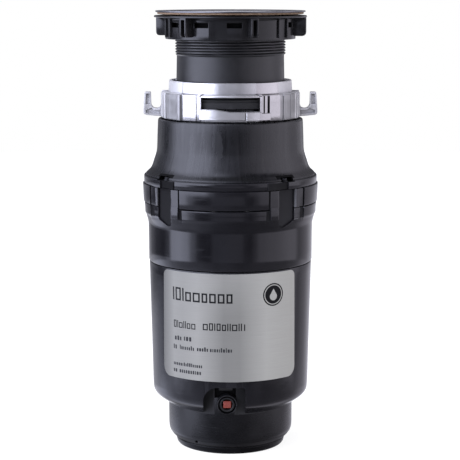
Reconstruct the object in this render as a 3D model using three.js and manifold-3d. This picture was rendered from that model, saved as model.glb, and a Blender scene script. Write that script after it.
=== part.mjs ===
// Continuous-feed kitchen food waste disposer with a permanent-magnet motor.
// Millimetres, +Z up, origin at the centre of the base's resting face. Azimuths are in degrees
// from the front (-Y) towards +X, so azimuth 90 is +X and azimuth 180 is the back (+Y).
import * as THREE from "three";
import { mergeVertices } from "three/addons/utils/BufferGeometryUtils.js";
import Module from "manifold-3d";

const wasm = await Module();
wasm.setup();

// ---------------------------------------------------------------- driving dimensions
const SEG = 32; // facets round a large turned part
const FLANGE_R = 57.15; // sink flange, 4 1/2 in across
const FLANGE_TOP = 336.85; // overall height
const THROAT_R = 37.0; // clear way through the flange
const SLEEVE_R = 41.0; // sleeve below the thread
const THREAD_CREST_R = 42.1;
const THREAD_PITCH = 2.117; // 12 threads to the inch
const THREAD_Z = [303.4, 318.2];
const NUT_PLATE_R = 58.2;
const NUT_SKIRT_R = 49.6;
const NUT_Z = [315.4, 333.3];
const NUT_LUG_R = 57.8;
const NUT_LUG_AZ = [-37.5, 18.3]; // repeated every 120 degrees
const NUT_WINDOW_AZ = [-57.2, -25.8, 3.4]; // repeated every 120 degrees
const RING_COLLAR_R = 47.2;
const RING_WALL_R = 52.5;
const RING_Z = [255.8, 275.3, 284.3]; // bottom, deck, collar top
const LUG_AZ = [60, 180, 300]; // bayonet lugs of the sleeve
const LUG_HALF = 14;
const RAMP_PER_DEG = 0.05; // rise of the bayonet ramp
const HOOK_R = [60.9, 66.6];
const JOINT_AZ0 = -4.7; // azimuth of the front panel of the housing joint
const POCKET_AZ = [40.3, 130.3, 220.3, 310.3];
const SCREW_R = 61.3; // housing screw circle
const PARTING_Z = 191.5;
const SHELL_TOP = 145.2;
const SHELL_R_TOP = 62.8;
const SHELL_R_LOW = 60.35;
const BASE_R = 41.3;
const BASE_WALL_R = 48.45;
const OUTLET_Z = 168.0; // discharge centre line
const OUTLET_BORE_R = 16.5;
const OUTLET_FACE_Y = 71.0;
const INLET_AZ = 180; // dishwasher inlet
const INLET_Z = 239.5;
const RESET_X = -2.5;
const RESET_Z = 41.9;
const CABLE_Z = 19.0;
const CABLE_FACE_Y = 49.6;
const TURNTABLE_R = 50.6;
const TURNTABLE_TOP = 199.4;
const IMPELLER_R = 33.0; // pivot circle

// ---------------------------------------------------------------- helpers
const rad = (d) => (d * Math.PI) / 180;
const polar = (r, az) => [r * Math.sin(rad(az)), -r * Math.cos(rad(az))];

function solid(geometry) {
  const g = geometry.index ? geometry.toNonIndexed() : geometry.clone();
  for (const name of Object.keys(g.attributes))
    if (name !== "position") g.deleteAttribute(name);
  const m = mergeVertices(g, 1e-4);
  const tri = [];
  const ix = m.index.array;
  for (let i = 0; i < ix.length; i += 3) {
    const [a, b, c] = [ix[i], ix[i + 1], ix[i + 2]];
    if (a !== b && b !== c && a !== c) tri.push(a, b, c);
  }
  const make = (t) =>
    new wasm.Manifold(
      new wasm.Mesh({
        numProp: 3,
        vertProperties: new Float32Array(m.attributes.position.array),
        triVerts: new Uint32Array(t),
      }),
    );
  const s = make(tri);
  if (s.volume() >= 0) return s;
  for (let i = 0; i < tri.length; i += 3)
    [tri[i + 1], tri[i + 2]] = [tri[i + 2], tri[i + 1]];
  return make(tri);
}

function geometryOf(s) {
  const m = s.getMesh();
  const v = new Float32Array(m.numVert * 3);
  for (let i = 0; i < m.numVert; i++)
    v.set(m.vertProperties.subarray(i * m.numProp, i * m.numProp + 3), i * 3);
  const g = new THREE.BufferGeometry()
    .setAttribute("position", new THREE.BufferAttribute(v, 3))
    .setIndex(new THREE.BufferAttribute(new Uint32Array(m.triVerts), 1));
  g.computeVertexNormals();
  return g;
}

// closed profile of [radius, z], turned about Z
function turned(profile, seg = SEG) {
  const p = profile.map(([r, z]) => new THREE.Vector2(r, z));
  if (p[0].x > 1e-6 || p[p.length - 1].x > 1e-6) p.push(p[0].clone());
  return solid(new THREE.LatheGeometry(p, seg).rotateX(Math.PI / 2));
}

function drum(r, z0, z1, seg = SEG) {
  return solid(
    new THREE.CylinderGeometry(r, r, z1 - z0, seg)
      .rotateX(Math.PI / 2)
      .translate(0, 0, (z0 + z1) / 2),
  );
}

function block(x0, x1, y0, y1, z0, z1) {
  return solid(
    new THREE.BoxGeometry(x1 - x0, y1 - y0, z1 - z0).translate(
      (x0 + x1) / 2,
      (y0 + y1) / 2,
      (z0 + z1) / 2,
    ),
  );
}

// block with its length along the radius at an azimuth: r0..r1, width w across, z0..z1
function radialBlock(az, r0, r1, w, z0, z1) {
  return solid(
    new THREE.BoxGeometry(w, r1 - r0, z1 - z0)
      .translate(0, -(r0 + r1) / 2, (z0 + z1) / 2)
      .rotateZ(rad(az)),
  );
}

function cylY(x, z, r, y0, y1, seg = 24) {
  return solid(
    new THREE.CylinderGeometry(r, r, y1 - y0, seg).translate(
      x,
      (y0 + y1) / 2,
      z,
    ),
  );
}

function cylZ(x, y, r, z0, z1, seg = 16) {
  return solid(
    new THREE.CylinderGeometry(r, r, z1 - z0, seg)
      .rotateX(Math.PI / 2)
      .translate(x, y, (z0 + z1) / 2),
  );
}

// part of a ring between two azimuths
function sector(r0, r1, z0, z1, a0, a1, n = Math.max(1, Math.round((a1 - a0) / 11.25))) {
  const pts = [];
  for (let i = 0; i <= n; i++) pts.push(polar(r1, a0 + ((a1 - a0) * i) / n));
  for (let i = n; i >= 0; i--) pts.push(polar(r0, a0 + ((a1 - a0) * i) / n));
  const shape = new THREE.Shape(pts.map(([x, y]) => new THREE.Vector2(x, y)));
  return solid(
    new THREE.ExtrudeGeometry(shape, {
      depth: z1 - z0,
      bevelEnabled: false,
    }).translate(0, 0, z0),
  );
}

function prism(points, z0, z1) {
  const shape = new THREE.Shape(points.map(([x, y]) => new THREE.Vector2(x, y)));
  return solid(
    new THREE.ExtrudeGeometry(shape, {
      depth: z1 - z0,
      bevelEnabled: false,
    }).translate(0, 0, z0),
  );
}

// closed sweep through cross-sections that all have the same number of points
function swept(sections) {
  const n = sections[0].length;
  const pos = [];
  const put = (a, b, c) => pos.push(...a, ...b, ...c);
  for (let i = 0; i + 1 < sections.length; i++)
    for (let k = 0; k < n; k++) {
      const a = sections[i][k], b = sections[i][(k + 1) % n];
      const c = sections[i + 1][(k + 1) % n], d = sections[i + 1][k];
      put(a, b, c);
      put(a, c, d);
    }
  const first = sections[0], last = sections[sections.length - 1];
  for (let k = 1; k + 1 < n; k++) {
    put(first[0], first[k + 1], first[k]);
    put(last[0], last[k], last[k + 1]);
  }
  return solid(
    new THREE.BufferGeometry().setAttribute(
      "position",
      new THREE.Float32BufferAttribute(pos, 3),
    ),
  );
}

// sector whose four corners' heights follow the azimuth
function slopedSector(r0, r1, zLow, zHigh, a0, a1, n) {
  const s = [];
  for (let i = 0; i <= n; i++) {
    const a = a0 + ((a1 - a0) * i) / n;
    const [x0, y0] = polar(r0, a), [x1, y1] = polar(r1, a);
    s.push([
      [x0, y0, zLow(a)],
      [x1, y1, zLow(a)],
      [x1, y1, zHigh(a)],
      [x0, y0, zHigh(a)],
    ]);
  }
  return swept(s);
}

// round wire along a helix about an axis through (cx, cy, cz) along X
function springX(x0, x1, cy, cz, r, wire, turns, per = 12, sides = 6) {
  const s = [];
  const n = Math.round(turns * per);
  for (let i = 0; i <= n; i++) {
    const t = (i / per) * 2 * Math.PI;
    const x = x0 + wire + ((x1 - x0 - 2 * wire) * i) / n;
    const ring = [];
    for (let k = 0; k < sides; k++) {
      const q = (k / sides) * 2 * Math.PI;
      const rr = r + wire * Math.cos(q);
      ring.push([x + wire * Math.sin(q), cy + rr * Math.cos(t), cz + rr * Math.sin(t)]);
    }
    s.push(ring);
  }
  return swept(s);
}

const union = (list) => list.reduce((a, b) => a.add(b));
const cutAll = (body, list) => list.reduce((a, b) => a.subtract(b), body);
const every = (list, step, count) =>
  Array.from({ length: count }, (_, k) => list.map((a) => a + k * step)).flat();

const finishes = {
  steel: ["#b9bbbe", 0.28, 1.0],
  darkSteel: ["#6d7074", 0.45, 1.0],
  zinc: ["#c3c8d0", 0.3, 1.0],
  blackGloss: ["#1c1b1f", 0.28, 0.0],
  blackSatin: ["#2a2a2e", 0.45, 0.0],
  blackMatte: ["#222225", 0.6, 0.0],
  rubber: ["#151516", 0.8, 0.0],
  fibre: ["#b98f6a", 0.85, 0.0],
  label: ["#a5a7a9", 0.35, 0.6],
  red: ["#b8402f", 0.4, 0.0],
  copper: ["#b56a3c", 0.35, 1.0],
  brass: ["#b89a4c", 0.35, 1.0],
  bronze: ["#9a6f3c", 0.5, 1.0],
  ferrite: ["#3a3a3d", 0.7, 0.0],
  lamination: ["#84868a", 0.5, 1.0],
  phenolic: ["#5b3a22", 0.7, 0.0],
  carbon: ["#2b2b2c", 0.7, 0.2],
  aluminium: ["#a9acb0", 0.45, 1.0],
  green: ["#2f7d45", 0.5, 0.3],
};

const part = new THREE.Group();
function add(name, s, finish) {
  const [color, roughness, metalness] = finishes[finish];
  const mesh = new THREE.Mesh(
    geometryOf(s),
    new THREE.MeshStandardMaterial({ color, roughness, metalness }),
  );
  mesh.name = name;
  part.add(mesh);
  return mesh;
}

// ---------------------------------------------------------------- sink side
// Pressed stainless flange: rolled rim, dished seat and straight throat.
add(
  "sink_flange",
  turned([
    [THROAT_R, 300.2], [THROAT_R, 325.2], [39.6, 332.0], [43.4, 335.4],
    [56.4, FLANGE_TOP], [FLANGE_R, 336.5], [FLANGE_R, 335.8], [44.1, 334.6],
    [40.7, 331.4], [38.2, 325.0], [38.2, 300.2],
  ]),
  "steel",
);

// Threaded sleeve under the flange, with three bayonet lugs at its foot and a seat for the guard.
// The 12-per-inch thread is drawn as crests at its pitch.
{
  const crests = [];
  for (let z = THREAD_Z[0]; z < THREAD_Z[1]; z += THREAD_PITCH)
    crests.push([SLEEVE_R, z], [THREAD_CREST_R, z + THREAD_PITCH / 2]);
  crests.push([SLEEVE_R, THREAD_Z[1] + 0.4]);
  const tube = turned([
    [38.9, 275.9], [38.9, 286.6], [36.6, 286.6], [36.6, 289.6], [38.9, 289.6],
    [38.9, 324.6], [SLEEVE_R - 0.2, 324.6], ...crests.reverse(), [41.35, 284.0],
    [41.35, 275.9],
  ]);
  const lugs = LUG_AZ.map((c) =>
    slopedSector(
      40.6, 44.4, () => 275.9,
      (a) => 278.65 + RAMP_PER_DEG * (LUG_HALF - (a - c)),
      c - LUG_HALF, c + LUG_HALF, 3,
    ),
  );
  add("threaded_sleeve", union([tube, ...lugs]), "blackSatin");
}

// Removable rubber splash guard: clamped rim and eight drooping flaps.
{
  const cone = turned([
    [33.2, 299.4], [38.4, 299.4], [38.4, 290.0], [34.0, 290.0], [10.0, 281.2],
    [10.0, 283.4], [33.2, 294.0],
  ], 24);
  const slits = every([22.5], 45, 8).map((a) => radialBlock(a, 8, 29, 1.2, 279, 294));
  add("splash_guard", cutAll(cone, slits), "rubber");
}

add(
  "fibre_gasket",
  turned([[46.4, 333.75], [53.4, 333.75], [55.8, 334.4], [55.8, 335.3], [46.4, 334.45]]),
  "fibre",
);

// Backing nut: thin plate, windowed skirt, inner threaded hub and hand lugs.
{
  const body = turned([
    [42.7, 316.2], [42.7, 330.0], [44.3, NUT_Z[1]], [NUT_PLATE_R, NUT_Z[1]],
    [NUT_PLATE_R, 331.8], [NUT_SKIRT_R + 0.4, 331.6], [NUT_SKIRT_R, NUT_Z[0]],
    [47.6, NUT_Z[0]], [47.6, 330.0], [45.2, 330.0], [45.2, 316.2],
  ]);
  const lugs = every(NUT_LUG_AZ, 120, 3).map((a) => {
    const z0 = 317.6;
    return swept(
      [-2.9, 2.9].map((x) =>
        [
          [-(NUT_SKIRT_R - 1.4), z0],
          [-(NUT_LUG_R - 2.6), z0],
          [-(NUT_LUG_R - 0.7), z0 + 0.9],
          [-NUT_LUG_R, z0 + 2.8],
          [-NUT_LUG_R, 332.2],
          [-(NUT_SKIRT_R - 1.4), 332.2],
        ].map(([y, z]) => [x, y, z]),
      ),
    ).rotate([0, 0, a]);
  });
  const windows = every(NUT_WINDOW_AZ, 120, 3).map((a) =>
    radialBlock(a, 46.2, 52, 11, 324.5, 328.2),
  );
  add("mounting_nut", cutAll(union([body, ...lugs]), windows), "blackGloss");
}

// ---------------------------------------------------------------- lock ring and neck
// Die-cast lock ring: collar with bayonet ledges, windowed wall, inturned lip and two hooks.
{
  const shell = turned([
    [44.8, 273.7], [44.8, RING_Z[2]], [RING_COLLAR_R - 0.3, RING_Z[2]],
    [RING_COLLAR_R + 0.1, RING_Z[1]], [RING_WALL_R, RING_Z[1]],
    [RING_WALL_R, RING_Z[0]], [46.5, RING_Z[0]], [46.5, 259.2], [49.4, 259.2],
    [49.4, 273.7],
  ]);
  // each ledge ramps over a lug, then drops to a stop that closes the way to the next gap
  const ledges = LUG_AZ.map((c) => {
    const at = [-16, -8, 0, 8, 14.6, 15.4, 29, 43, 58, 72.5];
    return swept(
      at.map((d) => {
        const low = d > 15 ? 278.2 : 279.0 + RAMP_PER_DEG * (LUG_HALF - d);
        const [x0, y0] = polar(41.95, c + d), [x1, y1] = polar(46.1, c + d);
        const top = RING_Z[2] - 0.5;
        return [[x0, y0, low], [x1, y1, low], [x1, y1, top], [x0, y0, top]];
      }),
    );
  });
  const windows = [0, 120, 240].map((c) =>
    slopedSector(
      48.6, 56, (a) => (a - c < -12.5 ? 265.2 : a - c > 0 ? 263.4 : 265.2 - (1.8 * (a - c + 12.5)) / 12.5),
      () => 273.2, c - 24.6, c + 25.6, 4,
    ),
  );
  const strips = [0, 120, 240].map((c) =>
    slopedSector(
      51.8, 53.3, () => 257.2,
      (a) => (a - c < -12.5 ? 265.2 : a - c > 0 ? 263.4 : 265.2 - (1.8 * (a - c + 12.5)) / 12.5) - 0.7,
      c - 26.2, c + 33.6, 5,
    ),
  );
  const hook = (side) => {
    // outline in (radius, z), carried across the hook's width
    const outline = [
      [51.2, 256.4], [60.0, 257.2], [HOOK_R[1] + 0.1, 258.0], [HOOK_R[1], 260.5],
      [HOOK_R[1] - 0.9, 274.6], [HOOK_R[0] + 0.4, 274.6], [HOOK_R[0], 266.4],
      [59.2, 263.6], [56.6, 262.8], [54.0, 263.4], [51.2, 265.6],
    ];
    const shape = new THREE.Shape(outline.map(([r, z]) => new THREE.Vector2(r, z)));
    return solid(
      new THREE.ExtrudeGeometry(shape, { depth: 8, bevelEnabled: false })
        .rotateX(Math.PI / 2)
        .translate(0, 4, 0)
        .rotateZ(side > 0 ? 0 : Math.PI),
    );
  };
  const pads = [-90, 90].map((a) => sector(51.4, 53.1, RING_Z[0] + 0.4, RING_Z[1] - 0.5, a - 12, a + 12));
  const body = cutAll(union([shell, ...ledges]), windows);
  add("mount_ring", union([body, ...strips, ...pads, hook(1), hook(-1)]), "zinc");
}

add(
  "cushion_mount",
  turned([
    [38.8, 265.1], [48.9, 265.1], [48.9, 270.4], [48.3, 271.0], [48.9, 271.6],
    [48.9, 272.1], [44.3, 272.1], [44.3, 275.5], [38.8, 275.5],
  ], 24),
  "rubber",
);

add("neck_snap_ring", sector(45.9, 48.5, 259.9, 262.3, 185, 535, 28), "darkSteel");

// ---------------------------------------------------------------- hopper
// Upper housing: neck, hopper wall, flare, clamped flange with four screw pockets.
{
  const shell = turned([
    [55.5, 191.8], [55.5, 214.6], [52.9, 216.8], [52.9, 245.6], [42.2, 247.6],
    [42.2, 264.8], [45.6, 264.8], [45.6, 251.0], [53.3, 251.0], [53.3, 254.9],
    [55.4, 254.6], [56.1, 242.0], [57.3, 228.0], [60.3, 218.9], [61.7, 216.5],
    [66.3, 211.8], [66.9, 205.9], [67.5, 205.6], [67.2, 191.8],
  ]);
  const corners = POCKET_AZ.map((a) => radialBlock(a, 60.5, 66.6, 17.5, 206.4, 211.5));
  const tube = (r, from, to, seg) =>
    solid(
      new THREE.CylinderGeometry(r, r, to - from, seg)
        .translate(0, -(from + to) / 2, 0)
        .rotateZ(rad(INLET_AZ))
        .translate(0, 0, INLET_Z),
    );
  const cuts = POCKET_AZ.flatMap((a) => {
    const [x, y] = polar(SCREW_R, a);
    return [
      cylZ(x, y, 4.3, 211.5, 232, 12),
      cylZ(x, y, 1.9, 190, 213, 8),
      sector(63.6, 72, 190, 205.9, a - 7.3, a + 7.3, 2),
    ];
  });
  cuts.push(tube(8.6, 50.0, 84, 16));
  const body = union([shell, ...corners, tube(11.2, 53.4, 80, 20)]);
  add("hopper_housing", cutAll(body, cuts), "blackSatin");
  // thin disc that closes the unused dishwasher inlet
  add("dishwasher_inlet_plug", tube(8.2, 53.4, 55.4, 16), "blackSatin");
}

// Stationary shredder ring with slots at its foot.
add(
  "grind_ring",
  cutAll(turned([[51.6, 192.2], [51.6, 212.6], [53.2, 214.2], [55.1, 214.2], [55.1, 192.2]]),
    every([0], 30, 12).map((a) => radialBlock(a, 50, 53.6, 4.2, 191, 204)),
  ),
  "steel",
);

add("chamber_seal", turned([[56.0, 189.5], [57.9, 189.5], [57.9, 191.5], [56.0, 191.5]], 24), "rubber");

// ---------------------------------------------------------------- drain chamber
{
  const body = turned([
    [9.2, 149.0], [9.2, 172.0], [13.4, 172.0], [15.5, 155.5], [52.0, 153.2],
    [55.5, 156.5], [55.5, 189.2], [58.3, 189.2], [58.3, 191.1], [66.3, 191.1],
    [66.15, 184.0], [65.5, 181.4], [63.5, 175.2], [63.2, 145.6], [60.6, 145.6],
    [60.6, 149.0],
  ]);
  const pad = block(-31, 31, 56.2, OUTLET_FACE_Y, OUTLET_Z - 19.4, OUTLET_Z + 19.4);
  const cuts = POCKET_AZ.flatMap((a) => {
    const [x, y] = polar(SCREW_R, a);
    return [
      cylZ(x, y, 1.9, 180, 193, 8),
      sector(63.6, 72, 176.4, 193, a - 7.3, a + 7.3, 2),
    ];
  });
  cuts.push(cylY(0, OUTLET_Z, OUTLET_BORE_R, 44, 80, 20));
  for (const x of [-25.4, 25.4]) cuts.push(cylY(x, OUTLET_Z, 2.6, 61, 80, 8));
  add("chamber_housing", cutAll(body.add(pad), cuts), "blackGloss");
}

POCKET_AZ.forEach((a, i) => {
  const [x, y] = polar(SCREW_R, a);
  const s = turned(
    [[0, 181.5], [1.5, 183.0], [1.5, 211.9], [3.6, 211.9], [3.6, 213.4], [2.6, 214.4], [0, 214.4]],
    10,
  );
  const slot = block(-2.0, 2.0, -0.5, 0.5, 213.4, 216);
  add(`housing_screw_${i + 1}`, s.subtract(slot).translate([x, y, 0]), "steel");
});

// ---------------------------------------------------------------- motor shell and base
const shellR = (z) => SHELL_R_LOW + ((SHELL_R_TOP - SHELL_R_LOW) * (z - 44.6)) / (SHELL_TOP - 44.6);
{
  const body = turned([
    [SHELL_R_TOP, SHELL_TOP], [SHELL_R_LOW, 44.6], [59.2, 42.1], [56.75, 39.6],
    [50.4, 34.8], [49.0, 34.0], [49.0, 36.4], [51.6, 38.6], [57.6, 43.4],
    [58.0, 50.0], [60.2, SHELL_TOP],
  ]);
  const outline = new THREE.Shape();
  outline.moveTo(-20.5, 28);
  outline.lineTo(-20.5, 46);
  outline.quadraticCurveTo(-20.0, 55.5, -10.5, 57);
  outline.lineTo(9.0, 57);
  outline.quadraticCurveTo(11.4, 57, 11.4, 54.5);
  outline.lineTo(11.4, 28);
  outline.closePath();
  const alcove = solid(
    new THREE.ExtrudeGeometry(outline, { depth: 30, bevelEnabled: false, curveSegments: 6 })
      .rotateX(Math.PI / 2)
      .translate(0, -44, 0),
  );
  add("motor_shell", body.subtract(alcove), "blackGloss");
}

{
  const a0 = -52.5, a1 = 52.5, n = 14;
  const s = [];
  for (let i = 0; i <= n; i++) {
    const a = a0 + ((a1 - a0) * i) / n;
    const zl = i === 0 || i === n ? 66 : 61.6;
    const zh = i === 0 || i === n ? 141.5 : 144.2;
    const p = (r, z) => [...polar(r, a), z];
    s.push([
      p(shellR(zl) + 0.32, zl), p(shellR(zl) + 0.75, zl),
      p(shellR(zh) + 0.75, zh), p(shellR(zh) + 0.32, zh),
    ]);
  }
  add("nameplate", swept(s), "label");
}

const BASE_SCREWS = [60, 120, 240, 300].map((a) => polar(36.5, a));
{
  const body = turned([
    [0, 0], [BASE_R, 0], [42.7, 4.2], [47.6, 10.3], [BASE_WALL_R, 14.0],
    [BASE_WALL_R, 61.5], [45.7, 61.5], [45.4, 12.8], [40.6, 5.5], [39.6, 3.0],
    [0, 3.0],
  ]);
  const adds = [
    cylY(0, CABLE_Z, 13.8, 41, CABLE_FACE_Y, 20),
    cylY(RESET_X, RESET_Z, 7.6, -53.4, -44.5, 20),
    ...BASE_SCREWS.map(([x, y]) => cylZ(x, y, 4.6, 2, 8, 10)),
  ];
  const cuts = [
    cylY(0, CABLE_Z, 10.9, 36, 56, 20),
    cylY(RESET_X, RESET_Z, 5.3, -60, -40, 16),
    block(RESET_X - 7.6, RESET_X + 7.6, -52, -42, 51.4, 57.0),
    block(-17, 17, 8, 34, -1, 2.1),
    block(-13, 13, 11, 27, 1, 4),
    cylZ(0, 30.4, 1.8, 1, 5, 8),
    cylZ(-28, 0, 1.8, 1.2, 5, 8),
    ...BASE_SCREWS.flatMap(([x, y]) => [cylZ(x, y, 3.8, -1, 4, 10), cylZ(x, y, 2.0, 3, 10, 8)]),
  ];
  add("base_housing", cutAll(union([body, ...adds]), cuts), "blackMatte");
}

add(
  "access_cover",
  block(-16.7, 16.7, 8.3, 33.7, 0.2, 1.8).subtract(cylZ(0, 30.4, 1.9, -1, 3, 12)),
  "darkSteel",
);
add("access_cover_screw", turned([[0, 0.2], [1.6, 0.2], [1.6, 1.6], [1.4, 1.9], [1.4, 4.6], [0, 4.6]], 8).translate([0, 30.4, 0]), "steel");
BASE_SCREWS.forEach(([x, y], i) =>
  add(
    `base_screw_${i + 1}`,
    turned([[0, 1.2], [2.4, 1.2], [3.3, 2.0], [3.3, 3.7], [1.6, 3.7], [1.6, 64.5], [0, 65.8]], 8).translate([x, y, 0]),
    "steel",
  ),
);
add("ground_screw", turned([[0, 1.6], [1.4, 1.6], [1.4, 3.4], [3.8, 3.4], [3.8, 5.2], [2.6, 6.0], [0, 6.0]], 10).translate([-28, 0, 0]), "green");

// ---------------------------------------------------------------- reset and electrics
add("reset_button", block(RESET_X - 3.3, RESET_X + 3.3, -52.2, -48, RESET_Z - 2.8, RESET_Z + 2.8).add(block(RESET_X - 2.2, RESET_X + 2.2, -49, -40, RESET_Z - 1.9, RESET_Z + 1.9)), "red");
add("overload_protector", block(RESET_X - 9, RESET_X + 9, -37, -23, 33, 55).add(block(RESET_X - 4, RESET_X + 4, -24, -18, 40, 48)), "phenolic");
add(
  "bridge_rectifier",
  union([
    block(-10.5, 10.5, 14.5, 33.5, 54.6, 61.6),
    ...[[-7, 18], [7, 18], [-7, 30], [7, 30]].map(([x, y]) => block(x - 0.4, x + 0.4, y - 3, y + 3, 46, 55)),
  ]),
  "carbon",
);

// ---------------------------------------------------------------- motor
const BOLT_X = 52.7;
{
  const body = turned([
    [9.4, 54.0], [13.2, 54.0], [13.2, 62.0], [57.0, 62.0], [57.0, 66.4], [9.4, 66.4],
  ], 24);
  const cuts = [
    ...BASE_SCREWS.map(([x, y]) => cylZ(x, y, 2.0, 58, 70, 8)),
    cylZ(BOLT_X, 0, 2.6, 58, 70, 8),
    cylZ(-BOLT_X, 0, 2.6, 58, 70, 8),
  ];
  add("lower_end_bell", cutAll(body, cuts), "aluminium");
}
add("lower_bearing", turned([[5.3, 54.4], [9.1, 54.4], [9.1, 66.0], [5.3, 66.0]], 24), "bronze");
add("stator_can", turned([[44.6, 66.8], [47.4, 66.8], [47.4, 138.2], [44.6, 138.2]], SEG), "darkSteel");
add("magnet_north", sector(37.2, 44.2, 86, 132, 25, 155, 14), "ferrite");
add("magnet_south", sector(37.2, 44.2, 86, 132, 205, 335, 14), "ferrite");
add(
  "brush_plate",
  turned([[16.2, 66.8], [43.8, 66.8], [43.8, 69.0], [16.2, 69.0]], 24),
  "phenolic",
);
for (const [tag, side] of [["a", 1], ["b", -1]]) {
  const m = (s) => (side === 1 ? s : s.rotate([0, 0, 180]));
  add(
    `brush_holder_${tag}`,
    m(block(16.6, 35.2, -5.2, 5.2, 69.4, 79.0).subtract(block(14, 33.6, -4.0, 4.0, 70.6, 77.8))),
    "brass",
  );
  add(`carbon_brush_${tag}`, m(block(14.5, 27.0, -3.6, 3.6, 71.0, 77.4)), "carbon");
  add(`brush_spring_${tag}`, m(springX(27.4, 33.2, 0, 74.2, 2.4, 0.35, 4, 8, 4)), "steel");
}
add(
  "rotor_shaft",
  turned([
    [0, 52.6], [5.0, 53.2], [5.0, 66.6], [6.0, 67.0], [6.0, 150.0], [5.5, 150.6],
    [5.5, 199.8], [4.0, 200.2], [4.0, 207.8], [0, 208.4],
  ], 20),
  "steel",
);
{
  const pts = [];
  for (let k = 0; k < 12; k++) {
    const c = k * 30;
    const half = (r, w) => (Math.asin(w / 2 / r) * 180) / Math.PI;
    pts.push(polar(36.0, c + half(36, 2.4)));
    pts.push(polar(36.2, c + 10), polar(36.2, c + 20));
    pts.push(polar(36.0, c + 30 - half(36, 2.4)));
    pts.push(polar(33.6, c + 30 - half(33.6, 5.6)));
    pts.push(polar(22.0, c + 30 - half(22, 5.6)));
    pts.push(polar(22.0, c + 30 + half(22, 5.6)));
    pts.push(polar(33.6, c + 30 + half(33.6, 5.6)));
  }
  add("armature_core", prism(pts, 90, 128).subtract(drum(6.3, 80, 140, 24)), "lamination");
}
{
  const ends = [
    turned([[12, 128.4], [33.6, 128.4], [33.0, 134.5], [16, 136.4], [12, 134]], 24),
    turned([[14.8, 84.5], [31, 83.2], [33.6, 89.6], [12, 89.6]], 24),
  ];
  const bars = every([0], 30, 12).map((a) => radialBlock(a, 22.6, 33.0, 4.6, 88.5, 129.5));
  add("armature_windings", union([...ends, ...bars]), "copper");
}
add(
  "commutator",
  cutAll(turned([[6.3, 69.2], [14.0, 69.2], [14.0, 80.4], [15.4, 80.6], [15.4, 82.6], [6.3, 82.6]], 24),
    every([5], 30, 12).map((a) => radialBlock(a, 13.2, 17, 0.5, 68, 84)),
  ),
  "copper",
);
{
  const body = turned([
    [10.3, 139.0], [10.3, 148.6], [16.0, 148.6], [17.0, 143.4], [57.8, 143.4], [57.8, 139.0],
  ], 24);
  add("upper_end_bell", cutAll(body, [cylZ(BOLT_X, 0, 2.6, 130, 150, 8), cylZ(-BOLT_X, 0, 2.6, 130, 150, 8)]), "aluminium");
}
add("upper_bearing", turned([[6.3, 139.4], [10.0, 139.4], [10.0, 148.2], [6.3, 148.2]], 24), "bronze");
[1, -1].forEach((side, i) =>
  add(
    `motor_through_bolt_${i + 1}`,
    turned([[0, 57.6], [3.6, 57.6], [3.6, 61.6], [2.1, 61.6], [2.1, 143.8], [3.6, 143.8], [3.6, 145.0], [2.1, 145.0], [2.1, 147.0], [0, 147.0]], 12).translate([side * BOLT_X, 0, 0]),
    "steel",
  ),
);
add("shaft_seal", turned([[5.9, 160.4], [8.8, 160.4], [8.8, 171.6], [6.6, 171.6], [5.9, 169]], 24), "rubber");
add(
  "water_slinger",
  turned([[5.85, 173.4], [14.2, 174.6], [18.0, 168.4], [20.6, 167.2], [18.4, 176.6], [15.5, 178.4], [5.85, 178.4]], 24),
  "blackMatte",
);

// ---------------------------------------------------------------- grinding turntable
const PIVOTS = [90, 270].map((a) => polar(IMPELLER_R, a));
{
  const body = turned([
    [5.85, 178.8], [11.5, 178.8], [12.5, 193.6], [46.0, 196.4], [TURNTABLE_R, 196.6],
    [TURNTABLE_R, TURNTABLE_TOP], [5.85, TURNTABLE_TOP],
  ]);
  const holes = every([30], 60, 6).map((a) => {
    const [x, y] = polar(43.5, a);
    return cylZ(x, y, 2.6, 190, 202, 8);
  });
  const pins = PIVOTS.map(([x, y]) => cylZ(x, y, 3.4, 190, 202, 10));
  add("turntable", cutAll(body, [...holes, ...pins]), "steel");
}
add(
  "turntable_nut",
  drum(9.0, 200.9, 206.6, 6).subtract(drum(4.4, 200, 208, 16)),
  "steel",
);
PIVOTS.forEach(([x, y], i) => {
  const tag = "ab"[i];
  const pts = [];
  for (let k = 0; k <= 6; k++) pts.push([6 * Math.cos(rad(180 + 30 * k)), 6 * Math.sin(rad(180 + 30 * k)) - 0.0]);
  pts.push([6, 12.5], [3.6, 16.2], [-3.6, 16.2], [-6, 12.5]);
  let s = prism(pts, 199.9, 203.8);
  s = s.add(prism([[5.9, 7.2], [5.9, 12.5], [3.5, 16.0], [-3.5, 16.0], [-5.9, 12.5], [-5.9, 7.2]], 203, 212));
  s = s.subtract(cylZ(0, 0, 3.5, 195, 206, 10));
  if (i === 1) s = s.rotate([0, 0, 180]);
  add(`impeller_${tag}`, s.translate([x, y, 0]), "steel");
  add(
    `impeller_rivet_${tag}`,
    turned([[0, 192.0], [4.8, 192.0], [4.8, 193.2], [3.0, 194.0], [3.0, 204.2], [5.2, 204.2], [4.6, 206.2], [0, 206.8]], 10).translate([x, y, 0]),
    "darkSteel",
  );
});

export default part;
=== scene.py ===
import math

import bmesh
import bpy
import numpy as np
from mathutils import Matrix, Vector


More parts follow.
